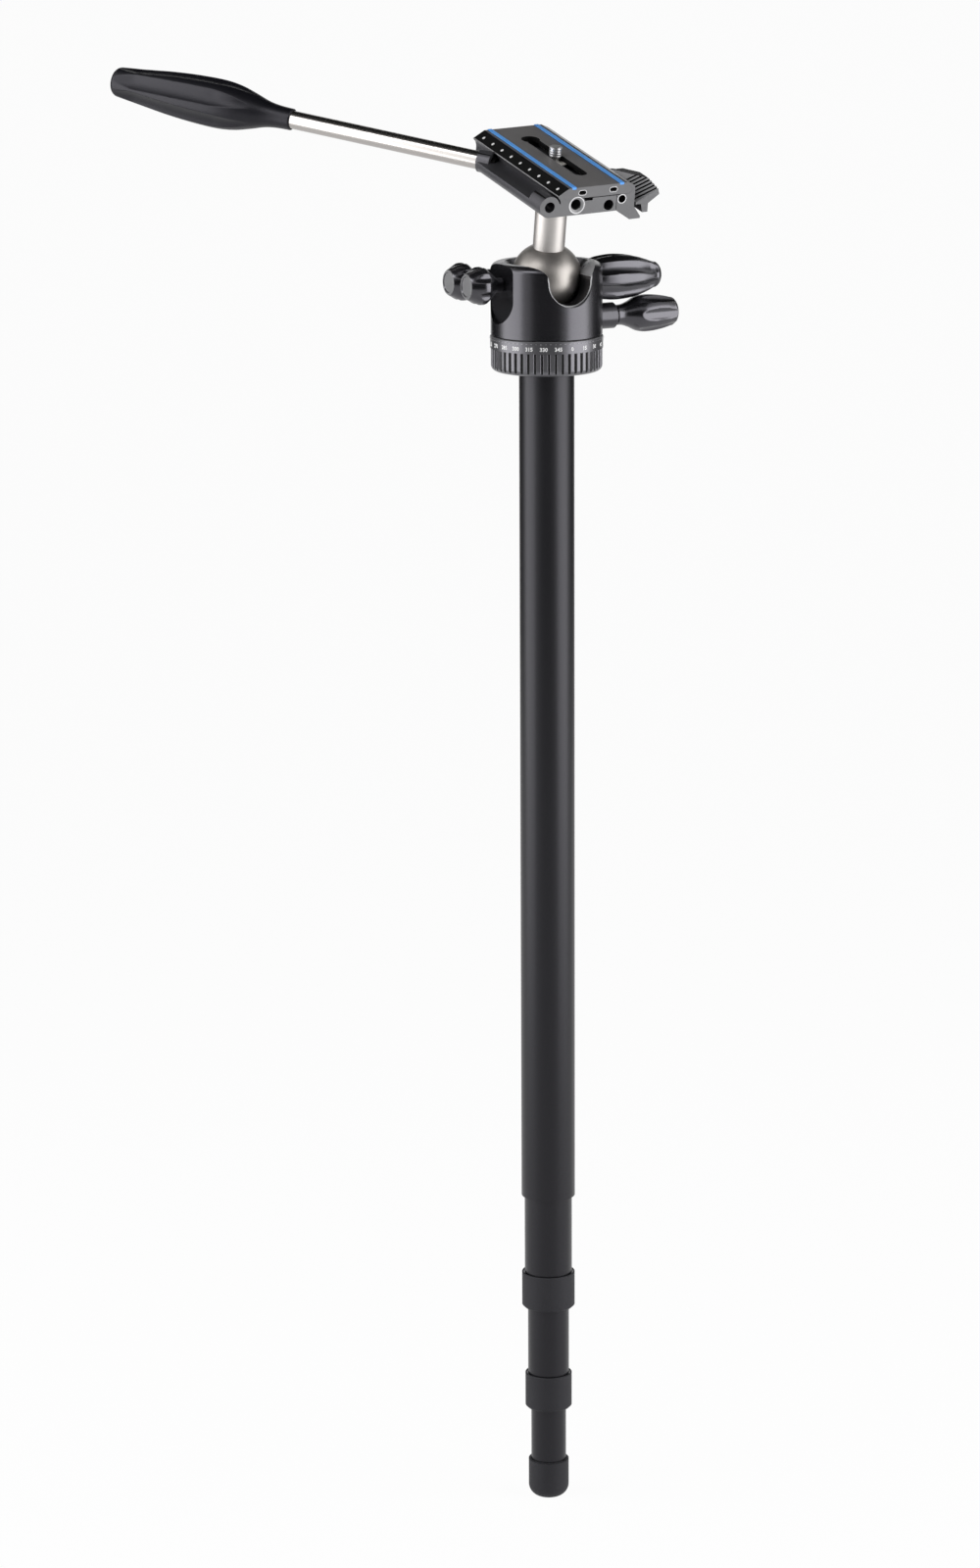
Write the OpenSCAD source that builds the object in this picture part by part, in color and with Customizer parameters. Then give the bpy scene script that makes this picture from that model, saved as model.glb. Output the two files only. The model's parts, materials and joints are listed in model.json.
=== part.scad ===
// Four-section camera monopod with a compact ball head, a dovetail plate in a
// lever clamp and a screwed-in pan handle. Sizes in millimetres. +Z runs up
// the leg and the origin is the middle of the foot's flat tip. The notch of
// the head faces -Y and its two large knobs point along +X.

/* [Leg] */
// Outer diameter of the thickest tube
tube1_d = 28; // [27:0.5:30]
// Step in outer diameter from one tube to the next
tube_step = 3.2; // [3.1:0.1:3.5]
// Wall of every tube
tube_wall = 1.1; // [1:0.05:1.2]
// Length of the thickest tube
tube1_l = 435; // [380:5:520]
// Bare length of the second tube above its collar
show2_l = 42.2; // [30:1:60]
// Bare length of the third tube above its collar
show3_l = 36.8; // [25:1:55]
// Bare length of the fourth tube above the foot
show4_l = 29; // [20:1:45]
// Height of a twist collar
collar_h = 19.2; // [17:0.2:24]
// Wall of a twist collar's nut
nut_wall = 0.75; // [0.6:0.05:1.2]
// Wall of the rubber sleeve on a nut
sleeve_wall = 0.7; // [0.6:0.05:1.2]

/* [Foot] */
// Diameter of the rubber foot
foot_d = 21.2; // [20.8:0.2:26]
// Height of the rubber foot
foot_h = 21; // [18:1:28]
// Rubber under the lowest tube
foot_floor = 7; // [5:0.5:9]

/* [Head base] */
// Diameter of the fluted base ring
base_d = 57; // [55:1:64]
// Height of the base ring
base_h = 17.8; // [16.5:0.2:22]
// Number of flutes round the base ring
flute_count = 50; // [36:2:60]
// Major diameter of the stud that carries the head
stud_d = 9.52; // [6.35:0.01:9.52]

/* [Head housing] */
// Diameter of the housing
housing_d = 56.4; // [55:0.2:60]
// Height of the housing
housing_h = 36.6; // [35:0.2:40]
// Diameter of the ball
ball_d = 36; // [34:0.5:36.5]
// Height of the ball's centre in the housing
ball_rise = 28.4; // [27.6:0.1:29.5]
// Width of the notch that the stem tips into
notch_w = 23; // [19:0.5:25]
// Diameter of the stem
stem_d = 16; // [13:0.5:17]

/* [Knobs] */
// Largest diameter of the main lock knob
main_knob_d = 23.6; // [20:0.2:24]
// Reach of the main lock knob from the head's axis
main_reach = 63.7; // [56:0.5:70]
// Largest diameter of the pan lock knob
pan_knob_d = 18.8; // [15:0.2:19]
// Reach of the pan lock knob from the head's axis
pan_reach = 73; // [66:0.5:80]
// Largest diameter of the two small knobs
small_knob_d = 19.2; // [16:0.2:19.4]
// Reach of the two small knobs from the head's axis
small_reach = 45.5; // [43:0.5:52]
// Distance of the drag knob behind the friction knob
drag_back = 20; // [19.7:0.1:21]

/* [Platform] */
// Forward tilt of the platform as it stands
rest_tilt = 13.4; // [0:0.2:30]
// Sideways roll of the platform as it stands, its lever side up
rest_roll = 2.6; // [0:0.2:10]
// Height of the plate's top face over the ball's centre
plate_rise = 64; // [62:0.5:72]
// Length of the plate and its clamp
plate_l = 92; // [84:1:110]
// Width of the plate's top face
plate_w = 31; // [30:0.5:34]
// Thickness of the plate
plate_t = 5.6; // [5.4:0.1:6.4]
// Depth of the clamp's underside below the plate's top
clamp_depth = 14; // [13.6:0.2:16]
// Length of the screw slot in the plate
slot_l = 60; // [50:1:66]
// Major diameter of the camera screw
camera_screw_d = 6.2; // [6:0.05:6.35]
// Height of the camera screw over the plate
camera_screw_h = 5; // [4:0.25:6.5]
// Width of a rubber strip
strip_w = 2.2; // [1.6:0.1:3]

/* [Handle] */
// Angle of the handle to the back of the platform
handle_angle = 37; // [34:1:42]
// Diameter of the handle's rod
rod_d = 9.25; // [8:0.25:10]
// Bare length of the rod
rod_l = 106; // [60:2:180]
// Length of the grip
grip_l = 104; // [80:1:120]
// Largest diameter of the grip
grip_d = 25; // [20:0.5:28]

/* [Hidden] */
$fn = 96;

// Fits that every piece shares
run = 0.05;      // radial gap of a running fit
slip = 0.03;     // radial gap round a piece fixed in another
seat_gap = 0.3;  // gap between faces that move past each other
over = 1;        // overrun of a cut

// Leg: radii and heights that follow from the driving sizes
function tube_r(n) = (tube1_d - (n - 1) * tube_step) / 2;
function bore_r(n) = tube_r(n) - tube_wall;
collar2_z = foot_h + show4_l;
collar1_z = collar2_z + collar_h + show3_l;
tube1_z = collar1_z + collar_h + show2_l;
leg_top = tube1_z + tube1_l;
collet_room_share = 0.5;
collet_room = collet_room_share * collar_h;  // room for the collet under a tube's end
lip_h = 2;            // lip under a collet
lip_gap = 0.4;        // gap between a collar's lip and the tube in it
collet_thin = 0.9;    // collet's wall at its thin end
cone_gap = 0.12;      // gap between a collet and its nut
slit_w = 1.2;         // slit through a collet or bush
edge_cut = 1.1;       // chamfer at a collar's lower edge
edge_soft = 0.4;      // chamfer at a sleeve's upper edge
bush_l = 24;          // length of a tube's top bush
liner_l = 22;         // length of the liner in the thickest tube
plug_l = 22;          // depth of the plug in the leg's top
stow_gap = 2;         // spare room over a stowed tube
lock_l = 36;          // height of the inner lock over its tube
lock_plug_l = 12;     // depth of the inner lock's plug in its tube
lock_flange = 2.5;    // flange of the inner lock
lock_stud_d = 7.2;    // stud of the inner lock
cone_low_d = 20;      // cone of the inner lock at its lower end
cone_top_d = 12;      // cone of the inner lock at its upper end
cone_start = 8;       // height of the cone over the tube's end
cone_l = 20;          // length of the cone
lock_end_d = 14;      // rim that keeps the bush on the cone
lock_end_t = 1.2;
top2_z = leg_top - plug_l - show2_l - lock_l - stow_gap;
top3_z = top2_z - lock_plug_l - show3_l - stow_gap;
top4_z = top3_z - show4_l - stow_gap;

// Foot
foot_round = 6.5;     // rounding of its lower edge
foot_plug_l = 18;
foot_plug_flange = 1.6;
foot_stud_d = 5;
foot_stud_l = 16;
foot_stud_head = 8;
foot_stud_head_t = 1.8;
foot_stud_drop = 4.4; // depth of the stud's head below the plug

// Head base
base_z = leg_top;
base_top = base_z + base_h;
base_round = 3;       // rounding of the ring's lower edge
band_h = 6.2;         // plain band for the scale above the flutes
band_step = 0.35;     // how far the flutes stand back from the band
flute_w = 2.1;
flute_deep = 0.55;
recess_d = 44;        // recess for the base plate
recess_h = 5;
head_room_d = 24;     // room for the pan bolt's head
head_room_h = 6.5;
bearing_d = 16.4;
bearing_bore_d = 10;
brake_in_d = 39.4;    // brake ring under the housing
brake_out_d = 44.4;
brake_h = 11;
plate_screw_count = 3;
plate_screw_pcd = 34;
plate_screw_d = 3;
plate_screw_head = 5.6;
plate_screw_l = 9;
stud_below = 16;      // stud's length in the plug
stud_above = 5;       // stud's length in the base plate
pan_gap = 0.4;        // gap between the base ring and the housing
glide_t = 0.3;
glide_in_d = 19;
glide_out_d = 35;

// Housing, all heights above its own lower edge
housing_z = base_top + pan_gap;
housing_r = housing_d / 2;
ball_r = ball_d / 2;
ball_z = housing_z + ball_rise;
cavity_r = ball_r + 0.5 * seat_gap;
bore_step = 0.12;     // how much wider the bore below the ball is
mouth_rise = 4;       // seat above the ball's centre
mouth_d = 43;         // mouth of the flare at the rim
rim_round = 4;        // rounding of the rim
foot_bevel = 0.5;     // bevel of the housing's lower edge
groove_slack = 0.3;   // room round the brake ring
groove_up = 0.7;
notch_flare = 8.5;    // radius that opens the notch at the rim
notch_lip = 0.7;      // bevel along the notch's edge
flat_deep = 2.9;      // depth of the flats under the knobs
flat_half = 12.5;     // half width of those flats
flat_low = 19.2;      // centre of the left flat's round end
flat_low_right = 14.3;
hub_h = 5.4;
spring_t = 0.8;
spring_in_d = 28;
spring_out_d = 34;
spring_gap = 1.1;     // room for the wave spring under the seat
seat_top = 17;
liner_t = 1.5;        // wall of the ball's liner
liner_gap = 0.1;
liner_rim = 15.4;     // the liner's rim below the ball's centre
liner_hole_d = 10;
bolt_d = 10;
bolt_thread_d = 8;
bolt_head_d = 17;
bolt_head_t = 3;
washer_t = 0.5;
washer_d = 18;

// Knobs and their screws
main_rise = 26.6;
pan_rise = 7.1;
small_rise = 26.4;
knob_lift = 0.3;      // gap between a knob and the flat under it
main_screw_d = 6;
main_shoe_d = 8.8;
main_shoe_l = 3.2;
shoe_travel = 0.6;    // room between a screw's tip and its shoe
main_start_d = 20.3;  // main knob beside the housing
main_peak = 13;       // its thickest place beyond the flat
main_end_d = 14;
main_end_round = 4;
main_flutes = 6;
main_flute_d = 12;
main_flute_deep = 1.5;
main_flute_tilt = 6;
sleeve_d = 13.2;      // threaded sleeve of the pan lock
sleeve_l = 13.2;
sleeve_bevel = 1;
pan_screw_d = 5;
pan_shoe_d = 6.4;
pan_shoe_l = 1.9;
pan_neck_d = 10.4;
pan_neck_l = 3.6;
pan_peak = 13;        // thickest place beyond the neck
pan_end_d = 14.6;
pan_end_round = 2.4;
pan_flutes = 6;
pan_flute_d = 9;
pan_flute_deep = 1.2;
small_screw_d = 5;
small_pad_d = 6;
small_pad_l = 2;
small_shaft_d = 7.6;
small_shaft_l = 3.4;
small_cone_l = 7;     // cone from shaft to lobes
small_end_d = 13.8;
small_taper_l = 4.4;
small_end_t = 1.6;
small_flutes = 6;
small_flute_d = 5;
small_flute_deep = 1.5;
boss_d = 11;          // boss of the drag screw
boss_in = 12;         // where the boss begins, from the head's axis
drag_tip = 9;         // where the drag screw ends
drag_pad_l = 5;

// Ball and stem, heights along the stem from the ball's centre
stem_root = 11;
bolt_root = -6;       // end of the stem's screw in the ball
stem_screw_d = 5;
stem_screw_head_d = 11;
stem_screw_head_t = 3.2;

// Platform: S to the right, T above the plate's top, L to the near end
clamp_bottom = -clamp_depth;
half_l = plate_l / 2;
dove_side = 3.5;      // run of the dovetail's slope
dove_flat = 0.9;      // height of its edge
dove_under = 1.2;     // bevel under its edge
dove_gap = 0.06;      // gap between the plate and the jaws
ledge_half = 14;      // inner edge of the ledges that carry the plate
relief = 0.4;         // room under the plate
jaw_land = 0.6;       // flat top of a jaw
lip_t = 1.2;          // thickness of the lip under the moving jaw
bevel_tip = [-22.3, -3.6];
bevel_back = [-20.8, -5.4];
bar_s = -26.3;        // handle bar beside the fixed jaw
bar_t = -8.6;
bar_r = 5.4;
bar_top = -7.4;
bar_l = 76;           // the bar's length from the near end
boss_l = 12;          // round boss at the bar's near end
slab_right = 10.6;
jaw_split = 0.3;      // gap between slab and moving jaw
socket_d = 5.4;       // threaded sockets in the near end
socket_l = 12;
socket_s = 6.4;
socket_t = -10.6;
small_socket_d = 4;
small_socket_l = 8;
small_socket_s = 13.7;
small_socket_t = -8.2;
stop_s = -11.3;       // bevelled hole in the near end
stop_t = -9;
stop_d = 5.4;
stop_bevel = 1.1;
stop_l = 8;
end_slot_w = 4;       // oval holes in the plate's ends
end_slot_h = 2.2;
end_slot_deep = 6;
end_slot_s = 8.6;
pin_d = 3;            // guide pins of the moving jaw
pin_t = -11.2;
pin_l_at = 29;
pin_from = -4;
pin_to = 18;
coil_d = 4.6;
coil_wall = 0.5;
coil_l = 4.2;
end_notch_s = -5;     // narrow slot beside the bevelled hole
end_notch_w = 4.6;
end_notch_h = 1.2;
end_notch_l = 6;
draw_l = 13;          // draw rod, lever pivot
draw_t = -10.2;
draw_d = 3.6;
draw_head_d = 6;
draw_head_t = 3;
draw_from = 2;
cam_r = 4.2;
cam_offset = 2;
cam_phase = 40;
cam_gap = 0.25;
jaw_outer = 20.8;
jaw_foot = 18.6;
jaw_lip = [24.6, -19.3];
eye_r = 2.6;
eye_t = 3.9;
lever_pin_d = 2.6;
fork_t = 2.4;
fork_gap = 0.15;
thumb_in = 21.6;      // lever's thumb piece, its sides and its places along the clamp
thumb_start = 20;
thumb_wide = 30;
thumb_top = -2.4;
thumb_low = -12;
thumb_edge = 33;
thumb_out = 34.6;
thumb_mid_t = -7.8;
thumb_tab = [28.6, -16.4];
tab_t = 3;
arm_in = 23.4;        // forks and web between the pivot and the thumb piece
arm_out = 27.6;
web_start = 18.6;
thumb_slope = 18.6;   // slope of the thumb's rest along the clamp and across it
thumb_roll = 26;
thumb_rest = [28, -7.8];
rib_w = 1.1;
rib_pitch = 2.3;
rib_deep = 0.7;
rib_count = 7;
strip_s = 13.2;
strip_deep = 0.8;
strip_proud = 0.35;
slot_w = 7;
keyhole_d = 9.4;
camera_neck_d = 5.4;   // undercut neck under the screw's thread
screw_head_d = 13.4;
screw_head_t = 2.4;
screw_washer_t = 0.4;
under_w = 15;         // recess under the plate
under_t = 3;
under_l = 70;

// Handle
rod_entry_s = -27.5;
rod_entry_l = -27;
rod_t = -8.6;
rod_boss_d = 11.4;
rod_boss_l = 7;
rod_thread_d = 6;
rod_thread_l = 9;
rod_hidden = 62;      // rod's length in the grip
grip_neck_d = 10.6;
grip_butt_d = 15.4;
grip_peak_share = 0.4;
grip_neck_share = 0.08;
grip_butt_round = 3.6;
grip_scallops = 6;
scallop_r = 10;
scallop_deep = 1.2;

// Helpers
// Tube between two radii and two heights
module ring(r_in, r_out, z0, z1) {
    translate([0, 0, z0]) difference() {
        cylinder(r = r_out, h = z1 - z0);
        translate([0, 0, -over]) cylinder(r = r_in, h = z1 - z0 + 2 * over);
    }
}

// Rod between two heights
module rod(r, z0, z1) {
    translate([0, 0, z0]) cylinder(r = r, h = z1 - z0);
}

// Cone to cut with: it runs past both of its ends at its own slope
module cone_cut(r1, r2, h) {
    slope = (r2 - r1) / h;
    translate([0, 0, -over])
        cylinder(r1 = r1 - slope * over, r2 = r2 + slope * over, h = h + 2 * over);
}

// Turns a piece drawn up +Z so that it points along +X or -X
module to_right() { rotate([0, 90, 0]) children(); }
module to_left() { rotate([0, -90, 0]) children(); }

// Value between a and b that leaves and arrives level
function ease(a, b, u) = a + (b - a) * (1 - cos(180 * u)) / 2;

// The ball's tilted frame: Z up the stem from the ball's centre
module on_ball() {
    translate([0, 0, ball_z]) rotate([0, -rest_roll, 0]) rotate([rest_tilt, 0, 0]) children();
}

// A profile drawn as (S, T), drawn out from one place L to another
module along(l0, l1) {
    on_ball() translate([0, -l0, plate_rise]) rotate([90, 0, 0]) linear_extrude(l1 - l0) children();
}

// A piece placed on the platform at (S, L, T)
module at_platform(s, l, t) {
    on_ball() translate([s, -l, plate_rise + t]) children();
}

// Foot
module foot_pad() {
    color([0.09, 0.09, 0.10]) rotate_extrude() difference() {
        union() {
            translate([0, foot_round]) square([foot_d / 2, foot_h - foot_round - edge_soft]);
            square([foot_d / 2 - foot_round, foot_h]);
            translate([0, foot_round]) square([foot_d / 2 - edge_soft, foot_h - foot_round]);
            intersection() {
                translate([foot_d / 2 - foot_round, foot_round]) circle(foot_round);
                square([foot_d / 2, foot_h]);
            }
        }
        translate([0, foot_floor]) square([tube_r(4) + slip, foot_h]);
        translate([0, foot_floor - foot_stud_drop]) square([foot_stud_head / 2 + slip, foot_h]);
    }
}

module foot_plug() {
    color([0.16, 0.16, 0.17]) difference() {
        union() {
            rod(tube_r(4), foot_floor, foot_floor + foot_plug_flange);
            rod(bore_r(4) - slip, foot_floor, foot_floor + foot_plug_l);
        }
        rod(foot_stud_d / 2 + slip, foot_floor - over, foot_floor + foot_stud_l);
    }
}

module foot_stud() {
    head_z = foot_floor - foot_stud_drop;
    color([0.72, 0.73, 0.75]) {
        rod(foot_stud_head / 2, head_z, head_z + foot_stud_head_t);
        rod(foot_stud_d / 2, head_z, foot_floor + foot_stud_l - stow_gap);
    }
}

// Tubes and the bushes on their upper ends
module tube(n, z0, z1) {
    color([0.13, 0.13, 0.14]) ring(bore_r(n), tube_r(n), z0, z1);
}

module tube_1() { tube(1, tube1_z, leg_top); }
module tube_2() { tube(2, collar1_z + collet_room, top2_z); }
module tube_3() { tube(3, collar2_z + collet_room, top3_z); }
module tube_4() { tube(4, foot_floor + foot_plug_flange, top4_z); }

module top_bush(n, z1) {
    color([0.82, 0.82, 0.78]) difference() {
        ring(tube_r(n) + slip, bore_r(n - 1) - run, z1 - bush_l, z1);
        translate([0, -slit_w / 2, z1 - bush_l - over]) cube([tube1_d, slit_w, bush_l + 2 * over]);
    }
}

module tube_3_bush() { top_bush(3, top3_z - edge_soft); }
module tube_4_bush() { top_bush(4, top4_z - edge_soft); }

module tube_1_liner() {
    color([0.18, 0.18, 0.19]) ring(tube_r(2) + run, bore_r(1) - slip, tube1_z, tube1_z + liner_l);
}

// Twist locks: a nut with an inner cone closes a split collet on the next tube
module lock_nut(n, z0) {
    inner = tube_r(n + 1);
    outer = tube_r(n) + nut_wall;
    color([0.14, 0.14, 0.15]) translate([0, 0, z0]) rotate_extrude() polygon([
        [inner + lip_gap, edge_soft], [outer - edge_cut, edge_soft], [outer, edge_soft + edge_cut],
        [outer, collar_h - edge_soft], [tube_r(n) + run, collar_h - edge_soft],
        [tube_r(n) + run, collet_room], [inner + collet_thin, lip_h], [inner + lip_gap, lip_h]
    ]);
}

module lock_sleeve(n, z0) {
    inner = tube_r(n) + nut_wall + slip;
    outer = tube_r(n) + nut_wall + sleeve_wall;
    color([0.07, 0.07, 0.08]) translate([0, 0, z0]) rotate_extrude() polygon([
        [inner - edge_cut, 0], [outer - edge_cut, 0], [outer, edge_cut],
        [outer, collar_h - edge_soft], [outer - edge_soft, collar_h], [inner, collar_h],
        [inner, edge_cut + edge_soft], [inner - edge_cut, edge_soft]
    ]);
}

module collet(n, z0) {
    inner = tube_r(n + 1) + run;
    low = tube_r(n + 1) + collet_thin - cone_gap;
    high = tube_r(n) - cone_gap;
    color([0.80, 0.79, 0.74]) translate([0, 0, z0]) difference() {
        rotate_extrude() polygon([
            [inner, lip_h + cone_gap], [low, lip_h + cone_gap],
            [high, collet_room - cone_gap], [inner, collet_room - cone_gap]
        ]);
        translate([0, -slit_w / 2, 0]) cube([tube1_d, slit_w, collar_h]);
        for (a = [90, 180, 270]) rotate([0, 0, a])
            translate([0, -slit_w / 2, 0]) cube([tube1_d, slit_w, collet_room - lip_h]);
    }
}

module collar_1_nut() { lock_nut(2, collar1_z); }
module collar_2_nut() { lock_nut(3, collar2_z); }
module collar_1_sleeve() { lock_sleeve(2, collar1_z); }
module collar_2_sleeve() { lock_sleeve(3, collar2_z); }
module collet_1() { collet(2, collar1_z); }
module collet_2() { collet(3, collar2_z); }

// Inner lock between the first two tubes: a bush that a cone spreads
module lock_cone() {
    end_z = top2_z + cone_start + cone_l + stow_gap;
    color([0.62, 0.63, 0.65]) {
        rod(bore_r(2) - slip, top2_z - lock_plug_l, top2_z);
        rod(tube_r(2), top2_z, top2_z + lock_flange);
        rod(lock_stud_d / 2, top2_z, top2_z + lock_l);
        translate([0, 0, top2_z + cone_start])
            cylinder(d1 = cone_low_d, d2 = cone_top_d, h = cone_l);
        rod(lock_end_d / 2, end_z, end_z + lock_end_t);
    }
}

module lock_bush() {
    color([0.80, 0.79, 0.74]) translate([0, 0, top2_z + cone_start]) difference() {
        cylinder(r = bore_r(1) - run, h = cone_l);
        cone_cut(cone_low_d / 2 + seat_gap, cone_top_d / 2 + seat_gap, cone_l);
        translate([0, -slit_w / 2, -over]) cube([tube1_d, slit_w, cone_l + 2 * over]);
        for (a = [90, 180, 270]) rotate([0, 0, a])
            translate([0, -slit_w / 2, -over]) cube([tube1_d, slit_w, cone_l - lip_h]);
    }
}

// Leg's top and the head's base
module top_plug() {
    color([0.55, 0.56, 0.58])
        ring(stud_d / 2 + slip, bore_r(1) - slip, leg_top - plug_l, leg_top);
}

module head_stud() {
    color([0.72, 0.73, 0.75]) rod(stud_d / 2, leg_top - stud_below, leg_top + stud_above);
}

module screw_places() {
    for (i = [0 : plate_screw_count - 1])
        rotate([0, 0, 360 * (i + 0.5) / plate_screw_count])
            translate([plate_screw_pcd / 2, 0, base_z]) children();
}

module plate_screw(grow) {
    cylinder(d1 = plate_screw_head + 2 * grow, d2 = plate_screw_d + 2 * grow,
             h = (plate_screw_head - plate_screw_d) / 2);
    cylinder(d = plate_screw_d + 2 * grow, h = plate_screw_l);
}

module base_plate() {
    color([0.45, 0.46, 0.48]) difference() {
        rod(recess_d / 2 - slip, base_z, base_z + recess_h);
        rod(stud_d / 2 + slip, base_z - over, base_z + recess_h + over);
        screw_places() plate_screw(slip);
    }
}

module base_screws() {
    color([0.30, 0.30, 0.32]) screw_places() plate_screw(0);
}

module base_ring() {
    fluted_r = base_d / 2 - band_step;
    color([0.15, 0.15, 0.16]) difference() {
        union() {
            intersection() {
                translate([0, 0, base_z]) linear_extrude(base_h - band_h) difference() {
                    circle(fluted_r);
                    for (i = [0 : flute_count - 1]) rotate([0, 0, 360 * i / flute_count])
                        translate([fluted_r + flute_w / 2 - flute_deep, 0])
                            circle(d = flute_w, $fn = 24);
                }
                translate([0, 0, base_z]) rotate_extrude() union() {
                    translate([0, base_round]) square([base_d / 2, base_h]);
                    square([fluted_r - base_round, base_h]);
                    translate([fluted_r - base_round, base_round]) circle(base_round);
                }
            }
            rod(base_d / 2, base_top - band_h, base_top - edge_soft);
            translate([0, 0, base_top - edge_soft])
                cylinder(r1 = base_d / 2, r2 = base_d / 2 - edge_soft, h = edge_soft);
            ring(brake_in_d / 2, brake_out_d / 2, base_top - over, base_top + brake_h);
        }
        rod(recess_d / 2, base_z - over, base_z + recess_h);
        rod(head_room_d / 2, base_z, base_z + recess_h + head_room_h);
        rod(bearing_d / 2, base_z, base_top + over);
        screw_places() plate_screw(slip);
    }
}

module pan_bearing() {
    color([0.70, 0.58, 0.34])
        ring(bearing_bore_d / 2 + run, bearing_d / 2 - slip, base_z + recess_h + head_room_h, base_top);
}

module glide_disc() {
    color([0.90, 0.90, 0.88])
        ring(glide_in_d / 2, glide_out_d / 2, base_top, base_top + glide_t);
}

// Housing of the ball
module rise(z) { translate([0, 0, housing_z + z]) children(); }

// Notch seen from -Y: a round-bottomed slot that flares open at the rim
module notch_shape(grow) {
    half = notch_w / 2 + grow;
    flare = notch_flare;
    top = housing_h + over;
    translate([0, ball_rise]) circle(half);
    translate([-half, ball_rise]) square([2 * half, top - ball_rise]);
    difference() {
        translate([-half - flare, housing_h - flare]) square([2 * (half + flare), flare + over]);
        for (side = [-1, 1]) translate([side * (half + flare), housing_h - flare]) circle(flare);
    }
}

module flat_cut(low) {
    translate([low, 0]) circle(flat_half);
    translate([low, -flat_half]) square([housing_h, 2 * flat_half]);
}

// Housing before its notch, flats and cross bores
module housing_shell() {
    mouth_from = ball_rise + mouth_rise;
    rotate_extrude() difference() {
        union() {
            square([housing_r - foot_bevel, housing_h - rim_round]);
            translate([0, foot_bevel]) square([housing_r, housing_h - rim_round - foot_bevel]);
            square([housing_r - rim_round, housing_h]);
            translate([housing_r - rim_round, housing_h - rim_round]) circle(rim_round);
        }
        translate([0, -over]) square([cavity_r + bore_step, ball_rise + over]);
        intersection() {
            translate([0, ball_rise]) circle(cavity_r);
            translate([0, ball_rise - over]) square([ball_d, ball_d]);
        }
        polygon([
            [0, mouth_from - over],
            [sqrt(cavity_r * cavity_r - mouth_rise * mouth_rise) - over, mouth_from - over],
            [sqrt(cavity_r * cavity_r - mouth_rise * mouth_rise), mouth_from],
            [mouth_d / 2, housing_h], [mouth_d / 2, housing_h + over], [0, housing_h + over]
        ]);
        translate([brake_in_d / 2 - groove_slack, -over])
            square([(brake_out_d - brake_in_d) / 2 + 2 * groove_slack,
                    brake_h - pan_gap + groove_up + over]);
    }
}

module housing() {
    color([0.14, 0.14, 0.15]) rise(0) difference() {
        union() {
            housing_shell();
            translate([0, drag_back, small_rise]) to_left()
                rod(boss_d / 2, boss_in, housing_r - flat_deep);
        }
        rotate([90, 0, 0]) linear_extrude(housing_d) notch_shape(0);
        translate([0, -housing_r + flat_deep, 0]) rotate([90, 0, 0])
            linear_extrude(housing_d) notch_shape(notch_lip);
        translate([housing_r - flat_deep, 0, 0]) rotate([0, 90, 0]) rotate([0, 0, 180])
            linear_extrude(housing_d) flat_cut(flat_low_right);
        translate([-housing_r + flat_deep, 0, 0]) rotate([0, -90, 0])
            linear_extrude(housing_d) flat_cut(flat_low);
        translate([0, 0, main_rise]) to_right() {
            rod(main_screw_d / 2 + run, 0, housing_r);
            rod(main_shoe_d / 2 + run, 0, ball_r + main_shoe_l + shoe_travel + seat_gap);
        }
        translate([0, 0, pan_rise]) to_right() {
            rod(pan_shoe_d / 2 + run, brake_out_d / 2, housing_r);
            rod(sleeve_d / 2 + slip, flat_x, housing_r + over);
        }
        translate([0, 0, small_rise]) to_left() {
            rod(small_screw_d / 2 + run, 0, housing_r);
            rod(small_pad_d / 2 + run, 0, ball_r + small_pad_l + shoe_travel + seat_gap);
        }
        translate([0, drag_back, small_rise]) to_left() {
            rod(small_screw_d / 2 + run, drag_tip, housing_r);
            rod(small_pad_d / 2 + run, 0, drag_tip + shoe_travel + seat_gap);
        }
    }
}

module hub_plate() {
    color([0.45, 0.46, 0.48]) rise(0) ring(bolt_thread_d / 2 + slip, cavity_r - slip, 0, hub_h);
}

module pan_bolt() {
    head_z = base_z + recess_h + head_room_h - washer_t - bolt_head_t - seat_gap;
    color([0.72, 0.73, 0.75]) {
        rod(bolt_head_d / 2, head_z, head_z + bolt_head_t);
        rod(bolt_d / 2, head_z, housing_z - slip);
        rod(bolt_thread_d / 2, head_z, housing_z + hub_h);
    }
}

module pan_washer() {
    top = base_z + recess_h + head_room_h;
    color([0.90, 0.90, 0.88])
        ring(bolt_d / 2 + slip, washer_d / 2, top - washer_t - seat_gap / 2, top - seat_gap / 2);
}

module seat_spring() {
    color([0.72, 0.73, 0.75])
        rise(0) ring(spring_in_d / 2, spring_out_d / 2, hub_h + slip, hub_h + slip + spring_t);
}

module ball_seat() {
    color([0.20, 0.20, 0.22]) rise(0) difference() {
        translate([0, 0, hub_h + spring_gap])
            cylinder(r = cavity_r - slip, h = seat_top - hub_h - spring_gap);
        translate([0, 0, ball_rise]) sphere(ball_r + liner_t + 2 * liner_gap);
        cylinder(r = bolt_thread_d / 2 + slip, h = seat_top);
    }
}

module ball_liner() {
    color([0.88, 0.87, 0.82]) rise(ball_rise) difference() {
        sphere(ball_r + liner_t + liner_gap);
        sphere(ball_r + liner_gap);
        translate([-ball_d, -ball_d, -liner_rim]) cube(2 * ball_d);
        translate([0, 0, -ball_d]) cylinder(d = liner_hole_d, h = ball_d);
    }
}

// Knobs. Each is drawn up +Z from the head's axis, then turned outwards
flat_x = housing_r - flat_deep;
main_start = flat_x + knob_lift;

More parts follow.
